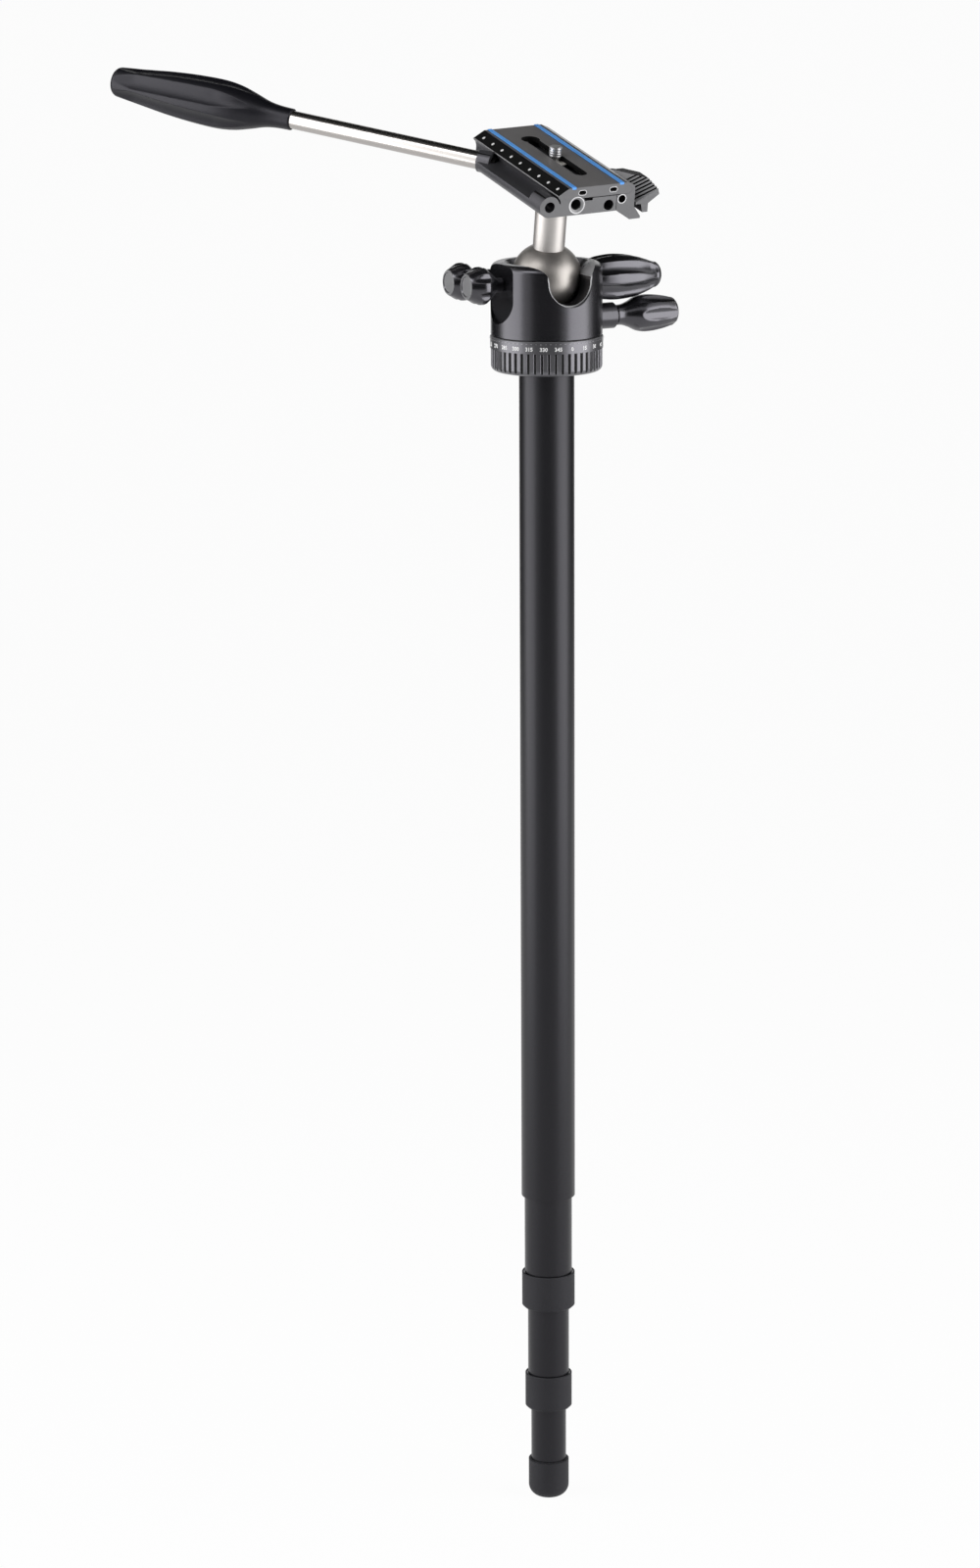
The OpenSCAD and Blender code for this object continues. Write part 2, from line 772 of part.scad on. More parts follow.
module main_knob() {
    r = main_knob_d / 2;
    step_share = 1 / 8;
    end_x = main_reach - main_end_round;
    peak_x = flat_x + main_peak;
    color([0.10, 0.10, 0.11]) rise(main_rise) to_right() difference() {
        rotate_extrude() union() {
            polygon([
                [0, main_start],
                for (u = [0 : step_share : 1])
                    [r - (r - main_start_d / 2) * (1 - u) * (1 - u),
                     main_start + u * (peak_x - main_start)],
                for (u = [step_share : step_share : 1])
                    [r - (r - main_end_d / 2) * u * u, peak_x + u * (end_x - peak_x)],
                [0, end_x]
            ]);
            square([main_end_d / 2 - main_end_round, main_reach]);
            intersection() {
                translate([main_end_d / 2 - main_end_round, end_x]) circle(main_end_round);
                translate([0, end_x]) square(main_knob_d);
            }
        }
        cylinder(r = main_knob_d, h = main_start);
        rod(main_screw_d / 2 + slip, 0, end_x - over);
        for (i = [0 : main_flutes - 1]) rotate([0, 0, 360 * (i + 0.5) / main_flutes])
            translate([r + main_flute_d / 2 - main_flute_deep, 0, peak_x])
                rotate([0, -main_flute_tilt, 0]) translate([0, 0, -main_peak - over])
                    cylinder(d = main_flute_d, h = main_reach);
    }
}

module main_screw() {
    tip = ball_r + main_shoe_l + shoe_travel;
    color([0.72, 0.73, 0.75]) rise(main_rise) to_right()
        rod(main_screw_d / 2, tip, main_reach - main_end_round - 2 * over);
}

module main_shoe() {
    color([0.80, 0.66, 0.36]) rise(main_rise) difference() {
        to_right() rod(main_shoe_d / 2, ball_r - over, ball_r + main_shoe_l);
        translate([0, 0, ball_rise - main_rise]) sphere(ball_r + run);
    }
}

module pan_sleeve() {
    color([0.13, 0.13, 0.14]) rise(pan_rise) to_right() difference() {
        union() {
            rod(sleeve_d / 2, flat_x, flat_x + sleeve_l - sleeve_bevel);
            translate([0, 0, flat_x + sleeve_l - sleeve_bevel])
                cylinder(d1 = sleeve_d, d2 = sleeve_d - 2 * sleeve_bevel, h = sleeve_bevel);
        }
        rod(pan_screw_d / 2 + run, flat_x - over, flat_x + sleeve_l + over);
    }
}

neck_x = flat_x + sleeve_l + seat_gap;
peak_x = neck_x + pan_neck_l + pan_peak;

module pan_knob() {
    r = pan_knob_d / 2;
    step_share = 1 / 8;
    end_x = pan_reach - pan_end_round;
    color([0.10, 0.10, 0.11]) rise(pan_rise) to_right() difference() {
        rotate_extrude() union() {
            polygon([
                [0, neck_x], [pan_neck_d / 2, neck_x],
                for (u = [0 : step_share : 1])
                    [ease(pan_neck_d / 2, r, u), neck_x + pan_neck_l + u * pan_peak],
                for (u = [step_share : step_share : 1])
                    [r - (r - pan_end_d / 2) * u * u, peak_x + u * (end_x - peak_x)],
                [0, end_x]
            ]);
            square([pan_end_d / 2 - pan_end_round, pan_reach]);
            intersection() {
                translate([pan_end_d / 2 - pan_end_round, end_x]) circle(pan_end_round);
                translate([0, end_x]) square(pan_knob_d);
            }
        }
        cylinder(r = pan_knob_d, h = neck_x);
        rod(pan_screw_d / 2 + slip, 0, end_x - over);
        for (i = [0 : pan_flutes - 1]) rotate([0, 0, 360 * (i + 0.5) / pan_flutes])
            translate([r + pan_flute_d / 2 - pan_flute_deep, 0, peak_x])
                rotate([0, -main_flute_tilt, 0]) translate([0, 0, -pan_peak])
                    cylinder(d = pan_flute_d, h = pan_reach);
    }
}

module pan_screw() {
    tip = brake_out_d / 2 + pan_shoe_l + shoe_travel;
    color([0.72, 0.73, 0.75]) rise(pan_rise) to_right()
        rod(pan_screw_d / 2, tip, pan_reach - pan_end_round - 2 * over);
}

module pan_shoe() {
    color([0.80, 0.66, 0.36]) rise(0) difference() {
        translate([0, 0, pan_rise]) to_right()
            rod(pan_shoe_d / 2, brake_out_d / 2 - over, brake_out_d / 2 + pan_shoe_l);
        translate([0, 0, -over]) cylinder(r = brake_out_d / 2 + run, h = housing_h);
    }
}

module small_knob() {
    r = small_knob_d / 2;
    start = flat_x + knob_lift;
    lobe_x = start + small_shaft_l + small_cone_l;
    taper_x = small_reach - small_end_t - small_taper_l;
    color([0.10, 0.10, 0.11]) rise(small_rise) to_left() difference() {
        union() {
            rod(small_shaft_d / 2, start, small_reach - small_end_t);
            translate([0, 0, start + small_shaft_l])
                cylinder(r1 = small_shaft_d / 2, r2 = r, h = small_cone_l);
            rod(r, lobe_x, taper_x);
            translate([0, 0, taper_x])
                cylinder(r1 = r, r2 = small_end_d / 2, h = small_taper_l);
            rod(small_end_d / 2, taper_x, small_reach - small_end_t);
            translate([0, 0, small_reach - small_end_t])
                cylinder(d1 = small_end_d, d2 = small_end_d - 2 * small_end_t, h = small_end_t);
        }
        rod(small_screw_d / 2 + slip, 0, small_reach - small_taper_l);
        for (i = [0 : small_flutes - 1]) rotate([0, 0, 360 * i / small_flutes])
            translate([r + small_flute_d / 2 - small_flute_deep, 0, start])
                cylinder(d = small_flute_d, h = small_reach - start - small_end_t);
    }
}

module small_screw(tip) {
    color([0.72, 0.73, 0.75]) rise(small_rise) to_left()
        rod(small_screw_d / 2, tip, small_reach - small_taper_l - over);
}

module drag_side() { translate([0, drag_back, 0]) children(); }

module friction_knob() { small_knob(); }
module friction_screw() { small_screw(ball_r + small_pad_l + shoe_travel); }
module drag_knob() { drag_side() small_knob(); }
module drag_screw() { drag_side() small_screw(drag_tip + shoe_travel); }

module friction_pad() {
    color([0.80, 0.66, 0.36]) rise(small_rise) difference() {
        to_left() rod(small_pad_d / 2, ball_r - over, ball_r + small_pad_l);
        translate([0, 0, ball_rise - small_rise]) sphere(ball_r + run);
    }
}

module drag_pad() {
    color([0.80, 0.66, 0.36]) rise(small_rise) difference() {
        drag_side() to_left() rod(small_pad_d / 2, drag_tip - drag_pad_l, drag_tip);
        translate([0, 0, ball_rise - small_rise]) sphere(ball_r + run);
    }
}

// Ball, stem and the screw through them
clamp_low_n = plate_rise - clamp_depth;
screw_head_n = plate_rise - plate_t - relief - stem_screw_head_t - seat_gap;

module ball() {
    color([0.56, 0.54, 0.51]) on_ball() difference() {
        sphere(ball_r);
        rod(stem_d / 2 + slip, stem_root, ball_r + over);
        rod(stem_screw_d / 2 + slip, bolt_root, ball_r);
    }
}

module stem() {
    color([0.80, 0.78, 0.74]) on_ball()
        ring(stem_screw_d / 2 + slip, stem_d / 2, stem_root, clamp_low_n - run);
}

module stem_screw() {
    color([0.72, 0.73, 0.75]) on_ball() {
        rod(stem_screw_d / 2, bolt_root, screw_head_n);
        rod(stem_screw_head_d / 2, screw_head_n, screw_head_n + stem_screw_head_t);
    }
}

// Platform
half_w = plate_w / 2;
dove_s = half_w + dove_side;
dove_low = dove_s - dove_under;
slab_top = -plate_t - relief;
slab_left = bevel_back[0] + jaw_land;

// Right half of the plate's outline, from its top edge down, moved out by a gap
function dove_points(gap) = [
    [half_w + gap, 0], [dove_s + gap, -dove_side], [dove_s + gap, -dove_side - dove_flat],
    [dove_low + gap, -plate_t - gap]
];
function flipped(points) = [for (i = [len(points) - 1 : -1 : 0]) [-points[i][0], points[i][1]]];

module plate() {
    color([0.30, 0.30, 0.32]) difference() {
        along(-half_l, half_l) polygon(concat(dove_points(0), flipped(dove_points(0))));
        at_platform(0, 0, 0) {
            for (side = [-1, 1]) translate([side * strip_s, 0, 0])
                cube([strip_w + 2 * slip, plate_l + 2 * over, 2 * strip_deep], center = true);
            translate([-slot_w / 2, -slot_l / 2 + slot_w / 2, -plate_t - over])
                cube([slot_w, slot_l - slot_w, plate_t + 2 * over]);
            for (side = [-1, 1]) translate([0, side * (slot_l - slot_w) / 2, -plate_t - over])
                cylinder(d = slot_w, h = plate_t + 2 * over);
            translate([0, (slot_l - slot_w) / 2, -plate_t - over])
                cylinder(d = keyhole_d, h = plate_t + 2 * over);
            translate([-under_w / 2, -under_l / 2, -plate_t - over])
                cube([under_w, under_l, under_t + over]);
        }
        for (s = [-end_slot_s, end_slot_s], end = [-half_l, half_l - end_slot_deep])
            along(end - over * (end < 0 ? 1 : 0), end + end_slot_deep + over * (end < 0 ? 0 : 1))
                translate([s, -plate_t / 2]) {
                    square([end_slot_w - end_slot_h, end_slot_h], center = true);
                    for (side = [-1, 1]) translate([side * (end_slot_w - end_slot_h) / 2, 0])
                        circle(d = end_slot_h);
                }
    }
}

module rubber_strips() {
    color([0.25, 0.55, 0.90]) at_platform(0, 0, 0)
        for (side = [-1, 1]) translate([side * strip_s - strip_w / 2, -half_l, -strip_deep])
            cube([strip_w, plate_l, strip_deep + strip_proud]);
}

module screw_washer() {
    color([0.90, 0.90, 0.88]) at_platform(0, 0, -plate_t + under_t - run) rotate([180, 0, 0])
        ring(camera_neck_d / 2 + run, screw_head_d / 2, 0, screw_washer_t);
}

module camera_screw() {
    color([0.75, 0.76, 0.78]) at_platform(0, 0, 0) difference() {
        union() {
            rod(camera_neck_d / 2, -plate_t + slip, 0);
            rod(camera_screw_d / 2, 0, camera_screw_h - edge_soft);
            translate([0, 0, camera_screw_h - edge_soft])
                cylinder(d1 = camera_screw_d, d2 = camera_screw_d - 2 * edge_soft, h = edge_soft);
            rod(screw_head_d / 2, -plate_t + slip, -plate_t + slip + screw_head_t);
        }
        translate([-screw_head_d, -slit_w / 2, -plate_t - over])
            cube([2 * screw_head_d, slit_w, over + slit_w]);
    }
}

// Fixed jaw, slab and handle bar in one profile
module clamp_profile() {
    gap = dove_gap;
    inner = flipped(dove_points(gap));
    polygon(concat(
        [[slab_right, clamp_bottom], [slab_right, slab_top], [-ledge_half, slab_top],
         [-ledge_half, -plate_t - gap]],
        inner,
        [[-half_w - gap - jaw_land, 0], bevel_tip, bevel_back, [slab_left, bar_top],
         [slab_left, clamp_bottom]]
    ));
}

module bar_profile() {
    translate([bar_s, bar_t]) circle(bar_r);
    translate([bar_s, clamp_bottom]) square([slab_left - bar_s + over, bar_top - clamp_bottom]);
}

module clamp_body() {
    thread_room = rod_thread_l + seat_gap;
    color([0.22, 0.22, 0.24]) difference() {
        union() {
            along(-half_l, half_l) clamp_profile();
            along(half_l - bar_l, half_l) difference() {
                bar_profile();
                translate([bar_s - 2 * bar_r, bar_top]) square([2 * bar_r - bar_s, 2 * bar_r]);
            }
            along(half_l - boss_l, half_l) bar_profile();
            handle_place() rod(rod_boss_d / 2, -rod_boss_l, 0);
        }
        at_platform(0, 0, 0) {
            rod(stem_screw_d / 2 + run, clamp_bottom - over, 0);
            rod(stem_screw_head_d / 2 + seat_gap, screw_head_n - plate_rise - slip, 0);
        }
        along(half_l - socket_l, half_l + over) {
            translate([bar_s, bar_t]) circle(d = socket_d);
            translate([socket_s, socket_t]) circle(d = socket_d);
        }
        along(half_l - stop_l, half_l + over) translate([stop_s, stop_t]) circle(d = stop_d);
        along(half_l - end_notch_l, half_l + over)
            translate([end_notch_s - end_notch_w / 2, slab_top - end_notch_h])
                square([end_notch_w, end_notch_h + over]);
        at_platform(stop_s, half_l, stop_t) rotate([90, 0, 0]) translate([0, 0, -stop_bevel])
            cylinder(d1 = stop_d, d2 = stop_d + 2 * stop_bevel + 2 * over, h = stop_bevel + over);
        for (l = [-pin_l_at, pin_l_at]) at_platform(0, l, pin_t) to_right() {
            rod(pin_d / 2 + slip, pin_from, slab_right + over);
            rod(coil_d / 2 + slip, slab_right - coil_l - slip, slab_right + over);
        }
        at_platform(0, draw_l, draw_t) to_right() {
            rod(draw_d / 2 + slip, draw_from, slab_right + over);
            rod(draw_head_d / 2 + slip, draw_from, draw_from + draw_head_t);
        }
        handle_place() {
            rod(rod_thread_d / 2 + run, -thread_room, over);
            rod(rod_boss_d / 2 + over, 0, 2 * rod_boss_d);
        }
    }
}

module jaw_pins() {
    color([0.72, 0.73, 0.75]) for (l = [-pin_l_at, pin_l_at])
        at_platform(0, l, pin_t) to_right() rod(pin_d / 2, pin_from, pin_to);
}

module jaw_springs() {
    color([0.60, 0.61, 0.63]) for (l = [-pin_l_at, pin_l_at]) at_platform(0, l, pin_t) to_right()
        ring(coil_d / 2 - coil_wall, coil_d / 2, slab_right - coil_l, slab_right);
}

pivot_s = jaw_outer + cam_gap + cam_r + cam_offset * cos(cam_phase);
fork_reach = eye_t / 2 + fork_gap + fork_t;
cam_room = cam_r + cam_offset + seat_gap;

module draw_rod() {
    color([0.72, 0.73, 0.75]) {
        at_platform(0, draw_l, draw_t) to_right() {
            rod(draw_d / 2, draw_from, pivot_s);
            rod(draw_head_d / 2, draw_from, draw_from + draw_head_t);
        }
        at_platform(pivot_s, draw_l, draw_t) {
            rod(eye_r, -eye_t / 2, eye_t / 2);
            rod(lever_pin_d / 2, -eye_t / 2 - fork_t, eye_t / 2 + fork_t);
        }
    }
}

module clamp_jaw() {
    color([0.24, 0.24, 0.26]) difference() {
        along(-half_l, half_l) jaw_outline();
        for (l = [-pin_l_at, pin_l_at]) at_platform(0, l, pin_t) to_right()
            rod(pin_d / 2 + run, slab_right, pin_to + seat_gap);
        at_platform(0, draw_l, draw_t) to_right() rod(draw_d / 2 + run, slab_right, jaw_lip[0]);
        along(half_l - small_socket_l, half_l + over)
            translate([small_socket_s, small_socket_t]) circle(d = small_socket_d);
        along(draw_l - cam_room, draw_l + cam_room) translate([jaw_outer, draw_t - fork_reach - cam_gap])
            square([jaw_lip[0], fork_reach + cam_gap]);
    }
}

// The dovetail's points run down from the top, so the jaw's order is reversed
module jaw_outline() {
    gap = dove_gap;
    points = dove_points(gap);
    polygon(concat(
        [[slab_right + jaw_split, clamp_bottom], [slab_right + jaw_split, slab_top],
         [ledge_half, slab_top], [ledge_half, -plate_t - gap]],
        [for (i = [len(points) - 1 : -1 : 0]) points[i]],
        [[half_w + gap + jaw_land, 0], [jaw_outer - jaw_land, bevel_tip[1] / 2],
         [jaw_outer, bevel_tip[1]], [jaw_outer, draw_t - eye_r],
         [jaw_lip[0], jaw_lip[1] + lip_t], jaw_lip, [jaw_foot, jaw_lip[1]]]
    ));
}

module thumb_profile() {
    polygon([
        [thumb_in, thumb_top], [thumb_edge, thumb_top], [thumb_out, thumb_mid_t],
        [thumb_tab[0], thumb_low], thumb_tab, [thumb_tab[0] - tab_t, thumb_tab[1]],
        [thumb_in + tab_t, thumb_low], [thumb_in, thumb_low]
    ]);
}

// Sloping rest for the thumb: X across the lever, Y away from the near end, Z out of the rest
module at_rest() {
    at_platform(thumb_rest[0], half_l, thumb_rest[1])
        rotate([thumb_slope, 0, 0]) rotate([0, -thumb_roll, 0]) children();
}

module clamp_lever() {
    color([0.12, 0.12, 0.13]) difference() {
        union() {
            along(thumb_start, half_l) thumb_profile();
            at_platform(pivot_s, draw_l, draw_t) {
                for (z = [eye_t / 2 + fork_gap, -fork_reach]) {
                    cam(z);
                    translate([arm_in - pivot_s, draw_l - thumb_start - over, z])
                        cube([arm_out - arm_in, thumb_start - draw_l + over, fork_t]);
                }
                translate([arm_in - pivot_s, draw_l - thumb_start - over, -fork_reach])
                    cube([arm_out - arm_in, thumb_start - web_start + over, 2 * fork_reach]);
            }
        }
        at_platform(pivot_s, draw_l, draw_t)
            rod(lever_pin_d / 2 + run, -fork_reach - over, fork_reach + over);
        at_platform(0, 0, thumb_tab[1] - over) linear_extrude(2 * over + thumb_top - thumb_tab[1]) polygon([
            [arm_out, over - thumb_start], [thumb_out + over, over - thumb_start],
            [thumb_out + over, -thumb_wide], [thumb_out, -thumb_wide], [arm_out, -thumb_start]
        ]);
        at_rest() {
            translate([-thumb_out, -thumb_out, 0]) cube([2 * thumb_out, 3 * thumb_out, thumb_out]);
            for (i = [0 : rib_count - 1]) translate([-thumb_out, (i + 0.5) * rib_pitch, -rib_deep])
                cube([2 * thumb_out, rib_w, thumb_out]);
        }
    }
}

module cam(z) {
    translate([-cam_offset * cos(cam_phase), -cam_offset * sin(cam_phase), z])
        cylinder(r = cam_r, h = fork_t);
}

// Handle
module handle_place() {
    at_platform(rod_entry_s, rod_entry_l, rod_t) rotate([-90, 0, handle_angle]) children();
}

module handle_rod() {
    color([0.85, 0.83, 0.80]) handle_place() {
        rod(rod_thread_d / 2, -rod_thread_l, over);
        rod(rod_d / 2, seat_gap, rod_l + rod_hidden);
    }
}

module handle_grip() {
    step_share = 1 / 8;
    neck = grip_neck_share * grip_l;
    peak = grip_peak_share * grip_l;
    end = grip_l - grip_butt_round;
    butt = grip_butt_d / 2;
    scallop_tilt = atan((grip_d / 2 - scallop_deep - butt) / (end - peak));
    color([0.12, 0.12, 0.13]) handle_place() translate([0, 0, rod_l]) difference() {
        rotate_extrude() union() {
            polygon([
                [0, 0], [grip_neck_d / 2, 0],
                for (u = [0 : step_share : 1])
                    [ease(grip_neck_d / 2, grip_d / 2, u), neck + u * (peak - neck)],
                for (u = [step_share : step_share : 1])
                    [grip_d / 2 - (grip_d / 2 - butt) * u * u, peak + u * (end - peak)],
                [0, end]
            ]);
            square([butt - grip_butt_round, grip_l]);
            intersection() {
                translate([butt - grip_butt_round, end]) circle(grip_butt_round);
                translate([0, end]) square(grip_d);
            }
        }
        rod(rod_d / 2 + slip, -over, rod_hidden + slip);
        for (i = [0 : grip_scallops - 1]) rotate([0, 0, 360 * i / grip_scallops])
            translate([grip_d / 2 - scallop_deep + scallop_r, 0, peak]) rotate([0, -scallop_tilt, 0])
                translate([0, 0, -neck - over]) cylinder(r = scallop_r, h = grip_l);
    }
}

foot_pad();
foot_plug();
foot_stud();
tube_4();
tube_4_bush();
tube_3();
tube_3_bush();
collet_2();
collar_2_nut();
collar_2_sleeve();
tube_2();
collet_1();
collar_1_nut();
collar_1_sleeve();
lock_cone();
lock_bush();
tube_1();
tube_1_liner();
top_plug();
head_stud();
base_plate();
base_screws();
base_ring();
pan_bearing();
glide_disc();
housing();
hub_plate();
pan_bolt();
pan_washer();
seat_spring();
ball_seat();
pan_sleeve();
pan_knob();
pan_screw();
pan_shoe();
main_knob();
main_screw();
main_shoe();
friction_knob();
friction_screw();
friction_pad();
drag_knob();
drag_screw();
drag_pad();
ball_liner();
ball();
stem();
stem_screw();
clamp_body();
jaw_pins();
jaw_springs();
draw_rod();
clamp_jaw();
clamp_lever();
plate();
rubber_strips();
screw_washer();
camera_screw();
handle_rod();
handle_grip();
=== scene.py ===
# %% [markdown]
# # A camera monopod, dressed for its portrait
# The imported CAD model already has every part at its real size. This lesson gives those parts
# their finishes, swaps the knobs and the grip for smoother shapes, and sets up the light and the
# camera. The first cell loads the CAD model.

# %% Load the CAD model
import json
import math
import bpy
import bmesh
from mathutils import Matrix, Vector


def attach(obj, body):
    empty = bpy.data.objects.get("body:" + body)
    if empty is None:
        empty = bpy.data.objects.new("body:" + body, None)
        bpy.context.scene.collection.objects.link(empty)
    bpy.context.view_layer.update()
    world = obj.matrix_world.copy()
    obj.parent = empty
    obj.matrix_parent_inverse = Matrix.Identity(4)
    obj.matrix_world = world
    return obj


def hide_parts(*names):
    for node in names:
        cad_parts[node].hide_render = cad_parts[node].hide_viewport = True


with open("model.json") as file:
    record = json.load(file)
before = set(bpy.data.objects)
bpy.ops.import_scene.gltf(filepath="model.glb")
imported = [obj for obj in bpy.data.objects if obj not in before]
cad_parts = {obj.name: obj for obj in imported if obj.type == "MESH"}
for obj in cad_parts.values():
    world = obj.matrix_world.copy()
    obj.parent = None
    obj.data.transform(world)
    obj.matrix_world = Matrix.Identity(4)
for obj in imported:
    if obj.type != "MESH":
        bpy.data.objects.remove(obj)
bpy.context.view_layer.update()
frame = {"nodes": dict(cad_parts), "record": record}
nodes = frame["nodes"]
MM = 0.001

# %% [markdown]
# The head stands on the leg, and the platform leans on the ball. A point on the platform is
# easiest to give in the platform's own directions: s to the right, l towards the near end, t up
# from the plate's top. One function turns those into the model's own directions, so nothing has
# to be placed by eye. Places and sizes are written in millimetres and turned into metres where
# they are used.

# %% Places on the leg and on the platform
RING_TOP = 620.2      # top face of the base ring
BAND_R = 28.5         # radius of the plain band that carries the scale
FLUTE_R = 27.75       # a face nearer to the axis than this lies inside a flute
HOUSING_Z = 620.6     # underside of the housing
HOUSING_TOP = 657.2
NOTCH_LIP_Y = 25.3    # how far in front of the axis the flat lip round the notch lies
BALL_Z = 649.0        # centre of the ball
PLATE_RISE = 64.0     # from the ball's centre up the stem to the plate's top
NEAR_END = 46.0       # the sawn near end, from the plate's middle
TURN = (Matrix.Rotation(math.radians(-2.6), 4, "Y")
        @ Matrix.Rotation(math.radians(13.4), 4, "X"))
PLATFORM = (Matrix.Translation((0, 0, BALL_Z * MM)) @ TURN
            @ Matrix.Translation((0, 0, PLATE_RISE * MM)))


def platform_point(s, l, t):
    return PLATFORM @ Vector((s * MM, -l * MM, t * MM))


print("plate centre:", [round(v, 4) for v in platform_point(0, 0, 0)])

# %% [markdown]
# ## Finishes
# Anodised metal, moulded plastic and rubber are never one flat colour. Each finish here starts
# from one colour and adds two layers of noise in object coordinates: a broad one that shifts the
# roughness, as handling does, and a fine one that raises a grain. One helper keeps those steps
# the same for every finish, and only the numbers differ. A picture of metal could be wrapped
# round each part instead, but noise has no seams and stays sharp at any distance.

# %% A helper for finishes with grain
GRAIN_HEIGHT = 0.0002     # metres


def finish(name, colour, rough, metal=0.0, patch=40.0, swing=0.06, grain=2500.0, bump=0.05,
           tint=0.12, stretch=(1, 1, 1), shine=0.5, tone=(1, 1, 1)):
    """patch and grain scale the two noises. swing and tint are how far roughness and colour
    wander. shine and tone are the strength and the colour of what is mirrored."""
    mat = bpy.data.materials.new(name)
    mat.use_nodes = True
    tree = mat.node_tree
    add, link = tree.nodes.new, tree.links.new
    shader = tree.nodes["Principled BSDF"]
    shader.inputs["Metallic"].default_value = metal
    shader.inputs["Specular IOR Level"].default_value = shine
    shader.inputs["Specular Tint"].default_value = (*tone, 1)
    place = add("ShaderNodeTexCoord")
    scale = add("ShaderNodeMapping")
    scale.inputs["Scale"].default_value = stretch
    link(place.outputs["Object"], scale.inputs["Vector"])
    broad = add("ShaderNodeTexNoise")
    broad.inputs["Scale"].default_value = patch
    broad.inputs["Detail"].default_value = 4
    fine = add("ShaderNodeTexNoise")
    fine.inputs["Scale"].default_value = grain
    fine.inputs["Detail"].default_value = 2
    for noise in (broad, fine):
        link(scale.outputs["Vector"], noise.inputs["Vector"])
    wear = add("ShaderNodeMapRange")
    wear.inputs["To Min"].default_value = max(0.02, rough - swing)
    wear.inputs["To Max"].default_value = rough + swing
    link(broad.outputs["Fac"], wear.inputs["Value"])
    link(wear.outputs["Result"], shader.inputs["Roughness"])
    ramp = add("ShaderNodeValToRGB")
    darkest, lightest = ramp.color_ramp.elements
    darkest.position = 0.3
    lightest.position = 0.7
    darkest.color = (*[c * (1 - tint) for c in colour], 1)
    lightest.color = (*[min(1, c * (1 + tint)) for c in colour], 1)
    link(broad.outputs["Fac"], ramp.inputs["Fac"])
    link(ramp.outputs["Color"], shader.inputs["Base Color"])
    raised = add("ShaderNodeBump")
    raised.inputs["Strength"].default_value = bump
    raised.inputs["Distance"].default_value = GRAIN_HEIGHT
    link(fine.outputs["Fac"], raised.inputs["Height"])
    link(raised.outputs["Normal"], shader.inputs["Normal"])
    return mat


# %% [markdown]
# ## Blacks
# Most of the monopod is black, yet no two of its blacks are alike. The base colours are all
# nearly nothing, and what tells the parts apart is how strongly and how sharply they mirror the
# lamps. The leg is drawn tube, so its noise is stretched along it. Black anodising and black
# plastic both mirror white light a little bluish.

# %% Black finishes
COOL = (0.93, 0.91, 1.0)
anodised = finish("satin_black_anodised", (0.006, 0.006, 0.007), 0.26, swing=0.03, bump=0.04,
                  shine=0.74, tone=COOL)
clamp_black = finish("clamp_satin_anodised", (0.034, 0.034, 0.037), 0.42, swing=0.04, bump=0.05,
                     shine=0.85, tone=COOL)
leg_black = finish("leg_black_anodised", (0.007, 0.007, 0.008), 0.34, swing=0.03, bump=0.05,
                   stretch=(1, 1, 0.15), shine=0.34, tone=COOL)
# partly anodised black and partly painted highlight: the ring's lands are painted lighter than the
# other blacks
ring_land_highlight_black = finish("ring_land_anodised_painted_highlight", (0.055, 0.055, 0.058), 0.30, swing=0.04, bump=0.05,
                    shine=1.0, tone=COOL)
knob_black = finish("knob_black", (0.006, 0.006, 0.007), 0.24, swing=0.04, bump=0.04,
                    shine=0.95, tone=COOL)
soft_grip = finish("soft_touch_grip", (0.004, 0.004, 0.006), 0.42, grain=1600, bump=0.06,
                   shine=0.32, tone=COOL)
rubber = finish("black_rubber", (0.018, 0.018, 0.020), 0.62, grain=1800, bump=0.25,
                shine=0.3, tone=COOL)
# painted shade: a deeper black for the bevelled edge under the plate, the slot's walls, the ring's
# flute floors and the rod's hidden thread, where shadow falls
painted_shade_black = finish("painted_shade_black", (0.004, 0.004, 0.004), 0.60, swing=0.04, shine=0.1)
print("black finishes:", len(bpy.data.materials))

# %% [markdown]
# ## Greys, bright metals and colours
# The plate is a dark grey and its sawn ends are lighter. Some edges are bright, partly as bare
# metal and partly as a painted highlight, and the flat ends of the small knobs get a painted
# highlight. The ball and its stem are one warm grey metal in two finishes, and only the rod is
# polished. Strips of blue rubber are the one real colour.

# %% Other finishes
plate_grey = finish("dark_plate_anodised", (0.122, 0.118, 0.118), 0.50, swing=0.05, bump=0.08,
                    shine=0.3)
cut_face = finish("freshly_cut_face", (0.115, 0.115, 0.120), 0.45, metal=0.2, swing=0.05)
# partly bare metal and partly painted highlight: bright edges, lips and rib tops
bare_edge_and_painted_highlight = finish("bare_and_highlight_edge", (0.36, 0.36, 0.37), 0.45, metal=0.1, swing=0.04)
rim_bright = finish("rim_bright", (0.55, 0.55, 0.56), 0.40, metal=0.3, swing=0.03)
# painted highlight: a lighter grey for the small knobs' flat ends
painted_highlight_grey = finish("painted_highlight_grey", (0.16, 0.16, 0.165), 0.45, swing=0.04)
ball_grey = finish("ball_anodised_grey", (0.285, 0.268, 0.252), 0.42, metal=0.9, swing=0.03,
                   bump=0.04)
stem_pale = finish("stem_satin_metal", (0.465, 0.445, 0.43), 0.46, metal=1.0, swing=0.02,
                   stretch=(1, 1, 8), bump=0.02, tint=0.04)
nickel = finish("handle_rod_nickel", (0.44, 0.42, 0.405), 0.24, metal=1.0, swing=0.005,
                bump=0.0, tint=0.01)
steel = finish("turned_steel", (0.60, 0.60, 0.61), 0.28, metal=1.0)
bare_metal = finish("bare_aluminium", (0.70, 0.71, 0.72), 0.35, metal=1.0)
brass = finish("turned_brass", (0.72, 0.52, 0.24), 0.32, metal=1.0)
pale_plastic = finish("pale_plastic", (0.72, 0.70, 0.65), 0.45)
